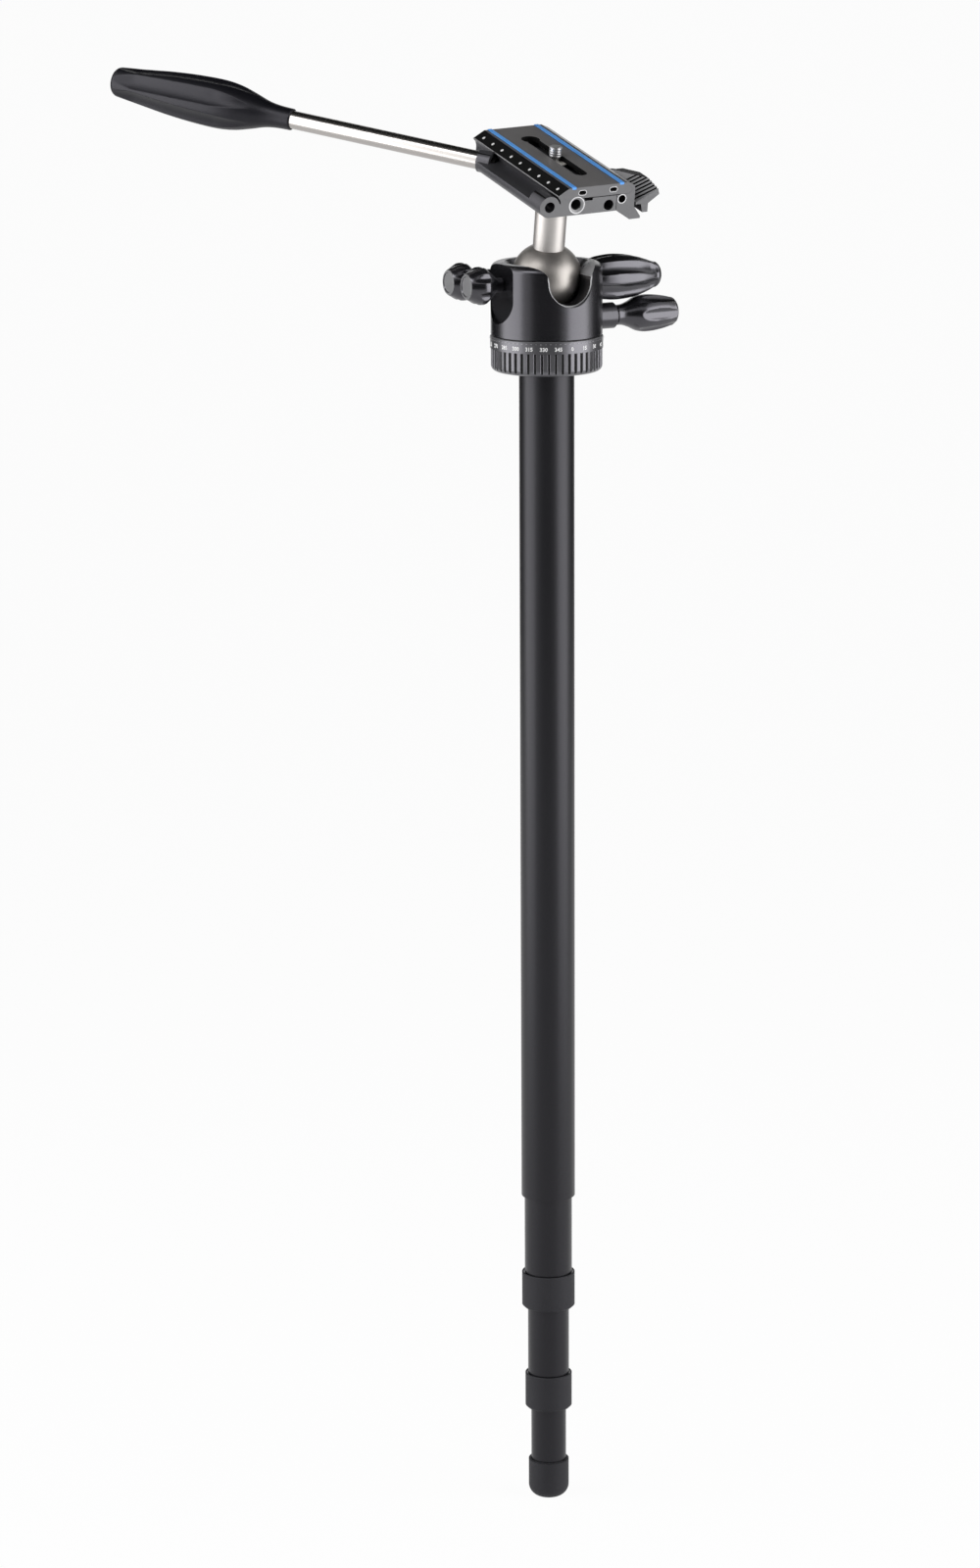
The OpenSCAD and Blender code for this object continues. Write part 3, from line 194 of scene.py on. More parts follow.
blue_rubber = finish("blue_rubber", (0.085, 0.36, 0.93), 0.42, grain=1800, bump=0.10)
white_ink = finish("white_ink", (0.80, 0.80, 0.80), 0.60, tint=0.03)
print("finishes:", len(bpy.data.materials))

# %% [markdown]
# ## Which part gets which finish
# The record names a slot for each CAD node. A table from slot to finish dresses all of them at
# once, and a second, short table makes exceptions where the same metal is finished in two ways.
# Sixty single lines would do as well, but a table is easier to read and to change.

# %% Dress the CAD parts
by_slot = {
    "black_metal": anodised, "bare_metal": bare_metal, "ball_metal": ball_grey,
    "stem_metal": stem_pale, "plate_metal": plate_grey, "steel": steel, "bright_rod": nickel,
    "brass": brass, "black_rubber": rubber, "blue_rubber": blue_rubber,
    "grip_rubber": soft_grip, "knob_plastic": knob_black, "pale_plastic": pale_plastic,
}
by_node = {name: leg_black for name in ("tube_1", "tube_2", "tube_3", "tube_4")}
by_node["base_ring"] = ring_land_highlight_black
by_node["clamp_body"] = clamp_black


def dress(part, mat):
    if not part.material_slots:
        part.data.materials.append(mat)
    for place in part.material_slots:
        place.material = mat


for entry in frame["record"]["subparts"]:
    name = entry["node"]
    dress(nodes[name], by_node.get(name, by_slot[entry["material_slot"]]))
print("dressed:", len(nodes))

# %% [markdown]
# ## Faces with a second finish
# The clamp and its plate are sawn from long black profiles, so their ends are bare metal. Each
# face of a mesh can have its own finish. This helper picks faces by where they lie and where
# they look, in millimetres and in directions of the part or of the platform, and gives them
# another finish. A thin extra plate over each cut end would look the same until the two surfaces
# flicker, so the faces themselves are changed.

# %% Pick faces and give them a second finish
def second_finish(part, mat, wanted, frame_of=Matrix.Identity(4)):
    """wanted(at, out) is asked for each face, with the face's centre and its outward direction."""
    data = part.data
    data.materials.append(mat)
    to_own = frame_of.inverted()
    turn_back = to_own.to_3x3()
    count = 0
    for face in data.polygons:
        if wanted(to_own @ face.center / MM, turn_back @ face.normal):
            face.material_index = len(data.materials) - 1
            count += 1
    print(part.name, "has", count, "faces in", mat.name)


# %% [markdown]
# On the platform the near end is bare, and the bevel round its largest thread is brighter still.
# The bevelled edge beside the plate and the walls of the plate's slot stay in shadow, so they
# get a deeper black as painted shade. The lever's ribs get a painted highlight on top. Here -y
# looks to the near end.

# %% Second finishes on the platform
BEVELLED_SOCKET = (-11.3, -9.0)     # s and t of its axis
BEVEL_REACH = 4.5                   # radius that takes in the whole bevel
BEVEL_DEEP = 3                      # and its depth behind the near end
EDGE_FOOT = -4                      # the bevelled edge lies above this
SLOT_HALF = (5.5, 31.5)             # takes in the slot's walls, across and along
RIB_FLOOR = -6.0                    # planes of the ribs' tops pass above this, floors below it


def sawn_end(at, out):
    return out.y < -0.95


def socket_bevel(at, out):
    s, t = BEVELLED_SOCKET
    return (-0.9 < out.y < -0.3 and at.y < BEVEL_DEEP - NEAR_END
            and math.hypot(at.x - s, at.z - t) < BEVEL_REACH)


def edge_bevel(at, out):
    return out.z > 0.8 and out.x < -0.4 and at.z > EDGE_FOOT


def slot_wall(at, out):
    return abs(out.z) < 0.3 and abs(at.x) < SLOT_HALF[0] and abs(at.y) < SLOT_HALF[1]


def rib_top(at, out):
    return out.z > 0.8 and out.x < -0.3 and out.dot(at) > RIB_FLOOR


for name in ("clamp_body", "clamp_jaw", "clamp_lever", "plate"):
    second_finish(nodes[name], cut_face, sawn_end, PLATFORM)
second_finish(nodes["clamp_body"], bare_edge_and_painted_highlight, socket_bevel, PLATFORM)
# painted shade: the bevelled edge under the plate gets a deeper black where it lies in shadow
second_finish(nodes["clamp_body"], painted_shade_black, edge_bevel, PLATFORM)
# painted shade: the walls of the plate's slot get a deeper black where they lie in shadow
second_finish(nodes["plate"], painted_shade_black, slot_wall, PLATFORM)
# painted highlight: the tops of the lever's ribs are painted bright
second_finish(nodes["clamp_lever"], bare_edge_and_painted_highlight, rib_top, PLATFORM)

# %% [markdown]
# On the head the notch has a flat lip round it, and the lip, the notch's edge and the rim in front
# are painted bright, partly as bare metal and partly as a painted highlight. The base ring's top
# is turned bare, and its flutes are painted black down to their floors as painted shade.

# %% Second finishes on the head
NOTCH_FROM = -8       # the notch's bright edge lies in front of this
NOTCH_DEEP = 9        # and no more than this below the housing's top
RIM_BACK = 6          # the bright part of the rim ends here, a little behind the axis


def flat_lip(at, out):
    return out.y < -0.999 and abs(at.y + NOTCH_LIP_Y) < 0.15


def notch_edge(at, out):
    return (out.z > 0.35 and abs(out.y) < 0.03 and at.y < NOTCH_FROM
            and at.z > HOUSING_TOP - NOTCH_DEEP)


def front_rim(at, out):
    return out.z > 0.99 and at.z > HOUSING_TOP - 0.3 and at.y < RIM_BACK


def ring_face(at, out):
    return out.z > 0.6 and at.z > RING_TOP - 1


def in_flute(at, out):
    outward = out.x * at.x + out.y * at.y > 0
    return abs(out.z) < 0.3 and outward and 20 < math.hypot(at.x, at.y) < FLUTE_R


# partly bare metal and partly painted highlight: the notch's lip, its edge and the front rim are
# painted bright
for wanted in (flat_lip, notch_edge, front_rim):
    second_finish(nodes["housing"], bare_edge_and_painted_highlight, wanted)
second_finish(nodes["base_ring"], cut_face, ring_face)
# painted shade: the ring's flutes are painted black down to their floors
second_finish(nodes["base_ring"], painted_shade_black, in_flute)

# %% [markdown]
# ## Pieces of our own
# Every piece that this lesson adds is a mesh with its finish already on it. It is linked to the
# scene and rides on the CAD body that carries it. A piece that stands for a CAD node hides that
# node. Small helpers keep this the same for all of them.

# %% Helpers for new pieces
def new_object(name, data):
    made = bpy.data.objects.new(name, data)
    bpy.context.scene.collection.objects.link(made)
    return made


def add_piece(name, data, body, node=None):
    piece = new_object(name, data)
    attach(piece, body)
    if node:
        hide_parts(node)
    print(name, len(data.polygons), "faces")
    return piece


def kept_mesh(name, mesh, mat):
    """Turns an edit mesh into a mesh with a finish, and frees the edit mesh."""
    data = bpy.data.meshes.new(name)
    mesh.to_mesh(data)
    mesh.free()
    data.materials.append(mat)
    return data


def join_rings(mesh, low, high):
    """One band of four-sided faces between two rings of equally many points."""
    for k in range(len(low)):
        n = (k + 1) % len(low)
        mesh.faces.new((low[k], low[n], high[n], high[k]))


print("helpers ready")

# %% [markdown]
# ## Turned and fluted pieces
# Every knob and the grip is a turned shape with grooves along it. Such a shape follows a rule: a
# radius for each height, less what the groove takes away at each angle. The mesh is laid out by
# that rule in rings, which gives smooth grooves that a stack of cylinders can't. Cutting them
# with Boolean modifiers would leave ragged edges.

# %% Lay out a turned piece in rings
SHARP_ANGLE = math.radians(38)


def turned(name, outline, matrix, mat, body, node, grooves, around=144):
    """outline: (height, radius) pairs in mm; grooves(height, angle, radius) is the cut radius."""
    mesh = bmesh.new()
    rings = []
    for x, r in outline:
        ring = []
        for k in range(around):
            a = 2 * math.pi * k / around
            cut = grooves(x, a, r)
            ring.append(mesh.verts.new((cut * math.cos(a) * MM, cut * math.sin(a) * MM, x * MM)))
        rings.append(ring)
    for low, high in zip(rings, rings[1:]):
        join_rings(mesh, low, high)
    mesh.faces.new(list(reversed(rings[0])))
    mesh.faces.new(rings[-1])
    bmesh.ops.recalc_face_normals(mesh, faces=mesh.faces)
    data = kept_mesh(name, mesh, mat)
    data.transform(matrix)
    for face in data.polygons:
        face.use_smooth = True
    data.set_sharp_from_angle(angle=SHARP_ANGLE)
    return add_piece(name, data, body, node)


# %% [markdown]
# A groove is cut by a round cutter that runs along the piece. Where it leaves the metal it would
# stop at a hard corner, so the corner is eased: near it the two surfaces blend over a short
# width. Where a groove runs out, its depth fades to nothing.

# %% The rule of a groove
def eased_min(a, b, soft):
    h = max(0.0, min(1.0, 0.5 + 0.5 * (b - a) / soft))
    return b + (a - b) * h - soft * h * (1 - h)


def groove_radius(outer, angle, count, phase, axis_at, cutter, soft):
    """Radius at an angle, for count equal cutters whose axes lie axis_at from the middle.
    soft is the width over which a groove's edge is eased, in mm."""
    step = 2 * math.pi / count
    off = (angle - phase + step / 2) % step - step / 2
    side = axis_at * math.sin(off)
    if abs(side) >= cutter:
        return outer
    floor_at = axis_at * math.cos(off) - math.sqrt(cutter * cutter - side * side)
    return eased_min(outer, floor_at, soft)


def faded(x, start, full, less, end):
    """0 before start, 1 from full to less, 0 after end."""
    return max(0.0, min(1.0, (x - start) / (full - start), (end - x) / (end - less)))


GROOVES = 6                         # every knob and the grip have six
HALF_STEP = math.radians(30)        # turns a pattern of six by half a step
RIGHT = Matrix.Rotation(math.radians(90), 4, "Y")
LEFT = Matrix.Rotation(math.radians(-90), 4, "Y")
print("grooves on each piece:", GROOVES)

# %% [markdown]
# The outlines were measured in the photograph at a few heights. A smooth curve through those
# knots gives the points between, and a quarter circle rounds the free end. A few knots are
# quicker to correct than a long list of points.

# %% Outlines from a few measured knots
def curve_points(knots, steps):
    """Smooth outline through the knots (Catmull-Rom)."""
    out = []
    pts = [knots[0]] + list(knots) + [knots[-1]]
    for i in range(1, len(pts) - 2):
        p0, p1, p2, p3 = (Vector(p) for p in pts[i - 1:i + 3])
        for j in range(steps):
            u = j / steps
            out.append(tuple(0.5 * ((2 * p1) + (p2 - p0) * u
                                    + (2 * p0 - 5 * p1 + 4 * p2 - p3) * u ** 2
                                    + (3 * p1 - p0 - 3 * p2 + p3) * u ** 3)))
    out.append(tuple(knots[-1]))
    return out


def rounded_end(x, r, radius, steps=8):
    """Quarter circle from the side at (x, r) to the end face."""
    turns = [math.pi / 2 * k / steps for k in range(1, steps + 1)]
    return [(x + radius * math.sin(a), r - radius + radius * math.cos(a)) for a in turns]


print("a rounded end has", len(rounded_end(0, 1, 1)), "points")

# %% [markdown]
# ## The main lock knob
# The main lock knob is shaped like a bullet with six wide grooves, so wet fingers still hold it.
# It starts where the CAD knob starts, so its screw still reaches it. The first number of each
# knot is the distance from the head's axis, the second is the radius. The grooves fade out over
# the round end, as they do on the real knob.

# %% Main lock knob
MAIN_RISE = 26.6      # the knob's axis above the housing's underside
MAIN_CUTTER = 6.0
MAIN_DEPTH = 1.6
main_side = curve_points([(25.6, 10.15), (30.0, 11.2), (38.3, 11.8), (48.0, 10.9), (56.0, 8.6),
                          (59.7, 7.0)], 7)
main_outline = ([(25.6, 9.6), (25.9, 9.95)] + main_side[1:] + rounded_end(59.7, 7.0, 4.0)
                + [(63.7, 1.0)])


def main_grooves(x, angle, r):
    deep = MAIN_DEPTH * faded(x, 25.0, 27.0, 57.0, 62.5)
    if deep <= 0.05:
        return r
    return groove_radius(r, angle, GROOVES, 0.0, r + MAIN_CUTTER - deep, MAIN_CUTTER, soft=0.35)


turned("main_lock_grip", main_outline,
       Matrix.Translation((0, 0, (HOUSING_Z + MAIN_RISE) * MM)) @ RIGHT, knob_black,
       "main_lock", "main_knob", main_grooves)

# %% [markdown]
# ## The pan lock knob
# The pan lock knob has a thin neck and the shape of a drop. Its cutters lean a little towards
# the axis, so the grooves start where the drop is widest and run out over its end.

# %% Pan lock knob
PAN_RISE = 7.1
PAN_CUTTER = 4.5
PAN_DEPTH = 1.3
PAN_WIDEST = (55.4, 9.4)
PAN_LEAN = math.radians(6)
pan_side = curve_points([(38.8, 5.2), (42.4, 5.3), (46.5, 6.6), (51.0, 8.7), PAN_WIDEST,
                         (61.0, 9.15), (66.5, 8.3), (70.6, 7.3)], 6)
pan_outline = [(38.8, 4.6)] + pan_side[1:] + rounded_end(70.6, 7.3, 2.4) + [(73.0, 1.0)]


def pan_grooves(x, angle, r):
    widest_x, widest_r = PAN_WIDEST
    axis_at = widest_r + PAN_CUTTER - PAN_DEPTH - math.tan(PAN_LEAN) * (x - widest_x)
    return groove_radius(r, angle, GROOVES, HALF_STEP, axis_at, PAN_CUTTER, soft=0.3)


turned("pan_lock_grip", pan_outline,
       Matrix.Translation((0, 0, (HOUSING_Z + PAN_RISE) * MM)) @ RIGHT, knob_black,
       "pan_lock", "pan_knob", pan_grooves)

# %% [markdown]
# ## The two small knobs
# The friction knob and the drag knob are twins: a shaft, a cone, six lobes and a flat end with a
# shallow round recess. One outline makes both, and the rear one is only moved back. Their flat
# ends get a lighter grey as a painted highlight.

# %% Friction and drag knobs
SMALL_RISE = 26.4
SMALL_R = 9.6
SMALL_CUTTER = 2.5
SMALL_DEPTH = 1.5
LOBES_END = 43.4      # where the lobes give way to the round end
FLAT_FROM = 43.5      # faces beyond this belong to the flat end
small_outline = [(25.6, 3.5), (26.0, 3.8), (28.8, 3.8), (29.2, 4.0), (32.0, 6.4), (34.6, 8.6),
                 (35.6, 9.3), (36.6, SMALL_R), (38.2, SMALL_R), (39.5, 9.45), (41.6, 8.4),
                 (LOBES_END, 7.3), (44.2, 6.9), (45.0, 6.3), (45.4, 5.9), (45.5, 5.6), (45.4, 5.1),
                 (45.0, 4.8), (45.0, 1.0)]


def small_grooves(x, angle, r):
    if x >= LOBES_END:
        return r
    return groove_radius(r, angle, GROOVES, 0.0, SMALL_R + SMALL_CUTTER - SMALL_DEPTH,
                         SMALL_CUTTER, soft=0.35)


def flat_end(at, out):
    return out.x < -0.6 and at.x < -FLAT_FROM


for name, body, node, back in (("friction_lock_grip", "friction_lock", "friction_knob", 0),
                               ("drag_lock_grip", "drag_lock", "drag_knob", 20)):
    place = Matrix.Translation((0, back * MM, (HOUSING_Z + SMALL_RISE) * MM)) @ LEFT
    knob = turned(name, small_outline, place, knob_black, body, node,
                  small_grooves, around=120)
    # painted highlight: the knob's flat end is painted a lighter grey
    second_finish(knob, painted_highlight_grey, flat_end)

# %% [markdown]
# ## The grip
# The grip is soft-touch plastic, thickest well before its middle, with six long scallops that
# run out at both ends. The same rule as for the knobs cuts them, with a wide cutter and almost
# no easing, so each scallop has a clear edge. The grip slides over the rod and starts 106 mm
# along it.

# %% Grip of the handle
HANDLE = (Matrix.Translation(platform_point(-27.5, -27.0, -8.6)) @ TURN
          @ Matrix.Rotation(math.radians(37), 4, "Z") @ Matrix.Rotation(math.radians(-90), 4, "X"))
GRIP_FROM = 106.0
SCALLOP_CUTTER = 10.0
SCALLOP_DEPTH = 1.8
grip_side = curve_points([(0.6, 5.5), (8.3, 5.8), (15.0, 6.8), (23.4, 9.3), (32.0, 11.5),
                          (41.6, 12.5), (55.0, 12.25), (70.0, 11.2), (85.0, 9.5), (100.4, 7.7)], 9)
grip_outline = [(0.0, 5.0)] + grip_side + rounded_end(100.3, 7.7, 3.6) + [(103.9, 1.0)]


def grip_scallops(x, angle, r):
    deep = SCALLOP_DEPTH * faded(x, 22.0, 42.0, 90.0, 101.5)
    if deep <= 0.03:
        return r
    return groove_radius(r, angle, GROOVES, HALF_STEP, r + SCALLOP_CUTTER - deep,
                         SCALLOP_CUTTER, soft=0.15)


turned("handle_hand_grip", grip_outline, HANDLE @ Matrix.Translation((0, 0, GRIP_FROM * MM)),
       soft_grip, "handle", "handle_grip", grip_scallops, around=180)

# %% [markdown]
# The rod's thread sits in the clamp's boss. Only its last turns can be seen, from the side, and
# there they lie in shadow, so they get a black painted shade. A second finish on those faces shows
# it without a new piece.

# %% Painted shade on the end of the rod's thread
def thread_end(at, out):
    return at.z < -0.2


second_finish(nodes["handle_rod"], painted_shade_black, thread_end, HANDLE)

# %% [markdown]
# ## Repeats with Geometry Nodes
# The degree scale on the base ring and the marks on the plate's edge are each one small shape,
# repeated, and a screw's thread is one profile, swept. Geometry Nodes are made for that: the
# sizes are inputs of the tree, and changing one number changes every copy. The result is turned
# into a plain mesh, because the exported model doesn't keep instances.

# %% Helpers for node trees
def new_tree(name, sizes):
    tree = bpy.data.node_groups.new(name, "GeometryNodeTree")
    for label, kind in sizes:
        tree.interface.new_socket(label, in_out="INPUT", socket_type="NodeSocket" + kind)
    tree.interface.new_socket("Geometry", in_out="OUTPUT", socket_type="NodeSocketGeometry")
    return tree, tree.nodes.new("NodeGroupInput"), tree.nodes.new("NodeGroupOutput")


def finish_tree(tree, source, last_in, mat):
    real = tree.nodes.new("GeometryNodeRealizeInstances")
    colour = tree.nodes.new("GeometryNodeSetMaterial")
    colour.inputs["Material"].default_value = mat
    tree.links.new(source, real.inputs["Geometry"])
    tree.links.new(real.outputs["Geometry"], colour.inputs["Geometry"])
    tree.links.new(colour.outputs["Geometry"], last_in)


def grow(name, tree, values, matrix, body):
    """Runs a tree on an empty mesh and keeps the result as a plain mesh."""
    holder = new_object(name + "_maker", bpy.data.meshes.new(name + "_seed"))
    maker = holder.modifiers.new("maker", "NODES")
    maker.node_group = tree
    sockets = {s.name: s.identifier for s in tree.interface.items_tree if s.in_out == "INPUT"}
    for label, value in values.items():
        maker[sockets[label]] = value
    bpy.context.view_layer.update()
    graph = bpy.context.evaluated_depsgraph_get()
    data = bpy.data.meshes.new_from_object(holder.evaluated_get(graph))
    holder.modifiers.remove(maker)
    bpy.data.objects.remove(holder)
    data.transform(matrix)
    return add_piece(name, data, body)


print("node helpers ready")

# %% [markdown]
# ## The degree scale
# Short white ticks stand along the top of the ring's band, 73 of them and a little under five
# degrees apart. A circle is cut into points, and each point gets a thin box that is turned with
# the circle. On a real ring they are engraved or printed. Boxes a few hundredths of a millimetre
# proud of the band look the same and need no image.

# %% A ring of ticks
TICK_DROP = 1.25      # the ticks' middle below the ring's top
CIRCLE_PARTS = 360
TICK_COUNT = 73
TICK_SIZE = (1.2 * MM, 0.05 * MM, 0.45 * MM)


def tick_ring_tree(mat):
    tree, ins, outs = new_tree("tick_ring", [("Count", "Int"), ("Radius", "Float"),
                                             ("Tick Size", "Vector")])
    add, link = tree.nodes.new, tree.links.new
    circle = add("GeometryNodeCurvePrimitiveCircle")
    circle.inputs["Resolution"].default_value = CIRCLE_PARTS
    spots = add("GeometryNodeCurveToPoints")
    tick = add("GeometryNodeMeshCube")
    copies = add("GeometryNodeInstanceOnPoints")
    link(ins.outputs["Radius"], circle.inputs["Radius"])
    link(circle.outputs["Curve"], spots.inputs["Curve"])
    link(ins.outputs["Count"], spots.inputs["Count"])
    link(ins.outputs["Tick Size"], tick.inputs["Size"])
    link(spots.outputs["Points"], copies.inputs["Points"])
    link(spots.outputs["Rotation"], copies.inputs["Rotation"])
    link(tick.outputs["Mesh"], copies.inputs["Instance"])
    finish_tree(tree, copies.outputs["Instances"], outs.inputs["Geometry"], mat)
    return tree


grow("scale_ticks", tick_ring_tree(white_ink),
     {"Count": TICK_COUNT, "Radius": BAND_R * MM, "Tick Size": TICK_SIZE},
     Matrix.Translation((0, 0, (RING_TOP - TICK_DROP) * MM)), "section_1")

# %% [markdown]
# ## Numbers on the scale
# The scale carries a number every fifteen degrees. Each is a short text, made flat, turned into
# a mesh and then bent round the ring: a letter's width becomes an angle and its height stays a
# height. Numbers are plain Blender text, so they need no image.

# %% Degree numbers round the ring
APART = 15            # degrees
ZERO_AT = -90 - 0.6   # direction of the zero in degrees, nearly straight in front
NUMBER_R = 28.53      # a hair outside the band
NUMBER_DROP = 4.75    # foot of the numbers below the ring's top
ring_numbers = bmesh.new()
for step in range(360 // APART):
    words = bpy.data.curves.new("number", "FONT")
    words.body = str(step * APART)
    words.size = 2.7 * MM
    words.offset = 0.07 * MM
    words.align_x = "CENTER"
    words.resolution_u = 2
    holder = new_object("number", words)
    graph = bpy.context.evaluated_depsgraph_get()
    flat = bpy.data.meshes.new_from_object(holder.evaluated_get(graph))
    bpy.data.objects.remove(holder)
    middle = math.radians(ZERO_AT + step * APART)
    for vert in flat.vertices:
        angle = middle + vert.co.x / (BAND_R * MM)
        height = (RING_TOP - NUMBER_DROP) * MM + vert.co.y
        vert.co = (NUMBER_R * MM * math.cos(angle), NUMBER_R * MM * math.sin(angle), height)
    ring_numbers.from_mesh(flat)
bmesh.ops.recalc_face_normals(ring_numbers, faces=ring_numbers.faces)
for face in ring_numbers.faces:
    if face.normal.dot(face.calc_center_median() * Vector((1, 1, 0))) < 0:
        face.normal_flip()
add_piece("scale_numbers", kept_mesh("scale_numbers", ring_numbers, white_ink), "section_1")

# %% [markdown]
# ## Marks on the plate's edge
# Nine white dots stand ten millimetres apart on the black bevel beside the plate. They help to
# set the plate to the same place again. A row of instances along a line makes them, and each dot
# is a very flat cylinder that leans with the bevel.

# %% A row of dots
DOT_SIDES = 20
BEVEL_DROP = 3.6
BEVEL_WIDTH = 22.3 - 16.16
EDGE_LEAN = math.atan2(BEVEL_DROP, BEVEL_WIDTH)


def dot_row_tree(mat):
    tree, ins, outs = new_tree("dot_row", [("Count", "Int"), ("Pitch", "Vector"),
                                           ("Start", "Vector"), ("Dot Radius", "Float"),
                                           ("Dot Height", "Float"), ("Lean", "Vector")])
    add, link = tree.nodes.new, tree.links.new
    row = add("GeometryNodeMeshLine")
    dot = add("GeometryNodeMeshCylinder")
    copies = add("GeometryNodeInstanceOnPoints")
    dot.inputs["Vertices"].default_value = DOT_SIDES
    link(ins.outputs["Count"], row.inputs["Count"])
    link(ins.outputs["Pitch"], row.inputs["Offset"])
    link(ins.outputs["Start"], row.inputs["Start Location"])
    link(ins.outputs["Dot Radius"], dot.inputs["Radius"])
    link(ins.outputs["Dot Height"], dot.inputs["Depth"])
    link(row.outputs["Mesh"], copies.inputs["Points"])
    link(dot.outputs["Mesh"], copies.inputs["Instance"])
    link(ins.outputs["Lean"], copies.inputs["Rotation"])
    finish_tree(tree, copies.outputs["Instances"], outs.inputs["Geometry"], mat)
    return tree


grow("plate_edge_marks", dot_row_tree(white_ink),
     {"Count": 9, "Pitch": (0, 10 * MM, 0), "Start": (-19.3 * MM, -40 * MM, -1.82 * MM),
      "Dot Radius": 0.85 * MM, "Dot Height": 0.10 * MM, "Lean": (0, -EDGE_LEAN, 0)},
     PLATFORM, "clamp")

# %% [markdown]
# ## A painted highlight on the lower edge of the bevel
# The bevel ends in a thin lip that catches the light. A strip along the lip, a few hundredths of a
# millimetre proud of it, is a painted highlight there. A second finish can't show it, because the
# bevel is one large face.

# %% Painted highlight along the lip
EDGE_LIP_AT = (-22.02, 0, -3.42)
EDGE_LIP_SIZE = (0.5, 92, 0.06)
lip_mesh = bmesh.new()
lip_place = (PLATFORM @ Matrix.Translation([v * MM for v in EDGE_LIP_AT])
             @ Matrix.Rotation(-EDGE_LEAN, 4, "Y")
             @ Matrix.Diagonal((*[v * MM for v in EDGE_LIP_SIZE], 1)))
bmesh.ops.create_cube(lip_mesh, size=1.0, matrix=lip_place)
add_piece("plate_edge_painted_highlight", kept_mesh("plate_edge_painted_highlight", lip_mesh, bare_edge_and_painted_highlight), "clamp")

# %% [markdown]
# ## Rims of the holes in the near end
# The end of the clamp was cut after the black finish, and some holes in it have a fine bright
# rim. A rim is a narrow washer a few hundredths of a millimetre proud of the face, so that it
# doesn't flicker. The plate's own holes are slots, so their rims are drawn out to the sides.

# %% Bright rims
RIM_SIDES = 48
RIM_LIFT = 0.05       # how far a rim stands out
RIM_FOOT = 0.02       # where its inner wall starts


def rim(name, place, inner, outer, body, wide=0.0):
    s, t = place
    mesh = bmesh.new()
    loops = []
    for r, lift in ((inner, RIM_FOOT), (inner, RIM_LIFT), (outer, RIM_LIFT), (outer, 0.0)):
        loop = []
        for k in range(RIM_SIDES):
            a = 2 * math.pi * k / RIM_SIDES
            side = (math.cos(a) > 1e-6) - (math.cos(a) < -1e-6)
            loop.append(mesh.verts.new((r * math.cos(a) * MM + side * wide / 2 * MM,
                                        r * math.sin(a) * MM, lift * MM)))
        loops.append(loop)
    for low, high in zip(loops, loops[1:] + loops[:1]):
        join_rings(mesh, low, high)
    bmesh.ops.recalc_face_normals(mesh, faces=mesh.faces)
    data = kept_mesh(name, mesh, rim_bright)
    data.transform(Matrix.Translation(platform_point(s, NEAR_END, t)) @ TURN
                   @ Matrix.Rotation(math.radians(90), 4, "X"))
    add_piece(name, data, body)


# s and t of the hole, inner and outer radius of the rim, the body that it rides on
rim("rim_bevelled_socket", BEVELLED_SOCKET, 3.82, 4.35, "clamp")
rim("rim_small_socket", (13.7, -8.2), 2.0, 2.45, "jaw")
rim("rim_plate_slot_left", (-8.6, -2.8), 1.1, 1.4, "quick_plate", wide=1.8)
rim("rim_plate_slot_right", (8.6, -2.8), 1.1, 1.4, "quick_plate", wide=1.8)

# %% [markdown]
# ## The camera screw's thread
# A screw catches the light as a stack of fine bright lines. The thread is a small six-sided
# profile swept along a helix, which Geometry Nodes do with Spiral and Curve to Mesh. It sits on
# the CAD screw's shank, inside the thread's real outer size.

# %% Thread on the camera screw
STEPS_PER_TURN = 40
PROFILE_SIDES = 6
THREAD_FROM = 0.3     # the thread's first turn above the plate's top


def thread_tree(mat):
    tree, ins, outs = new_tree("screw_thread", [("Turns", "Float"), ("Radius", "Float"),
                                                ("Height", "Float"), ("Depth", "Float")])
    add, link = tree.nodes.new, tree.links.new
    helix = add("GeometryNodeCurveSpiral")
    helix.inputs["Resolution"].default_value = STEPS_PER_TURN
    profile = add("GeometryNodeCurvePrimitiveCircle")
    profile.inputs["Resolution"].default_value = PROFILE_SIDES
    sweep = add("GeometryNodeCurveToMesh")
    sweep.inputs["Fill Caps"].default_value = True
    link(ins.outputs["Turns"], helix.inputs["Rotations"])
    link(ins.outputs["Radius"], helix.inputs["Start Radius"])
    link(ins.outputs["Radius"], helix.inputs["End Radius"])
    link(ins.outputs["Height"], helix.inputs["Height"])
    link(ins.outputs["Depth"], profile.inputs["Radius"])
    link(helix.outputs["Curve"], sweep.inputs["Curve"])
    link(profile.outputs["Curve"], sweep.inputs["Profile Curve"])
    finish_tree(tree, sweep.outputs["Mesh"], outs.inputs["Geometry"], mat)
    return tree


grow("camera_screw_threads", thread_tree(steel),
     {"Turns": 3.4, "Radius": 3.0 * MM, "Height": 4.1 * MM, "Depth": 0.3 * MM},
     PLATFORM @ Matrix.Translation((0, 0, THREAD_FROM * MM)), "mount_screw")

# %% [markdown]
# ## Studio
# The backdrop and the floor are white to the camera, and the floor keeps a faint shadow. Only
# rays from the camera, and those that metal or glass send on, see that white: the light on the
# monopod stays plain. Light Path tells the kinds of ray apart, and one helper serves both the
# floor and the world.

# %% Floor and world
FLOOR_HALF = 40.0     # metres
FLOOR_WHITE = 0.96    # share of pure white in the floor, the rest shows the shadow
SKY_LIGHT = 0.22
SKY_WHITE = 0.97


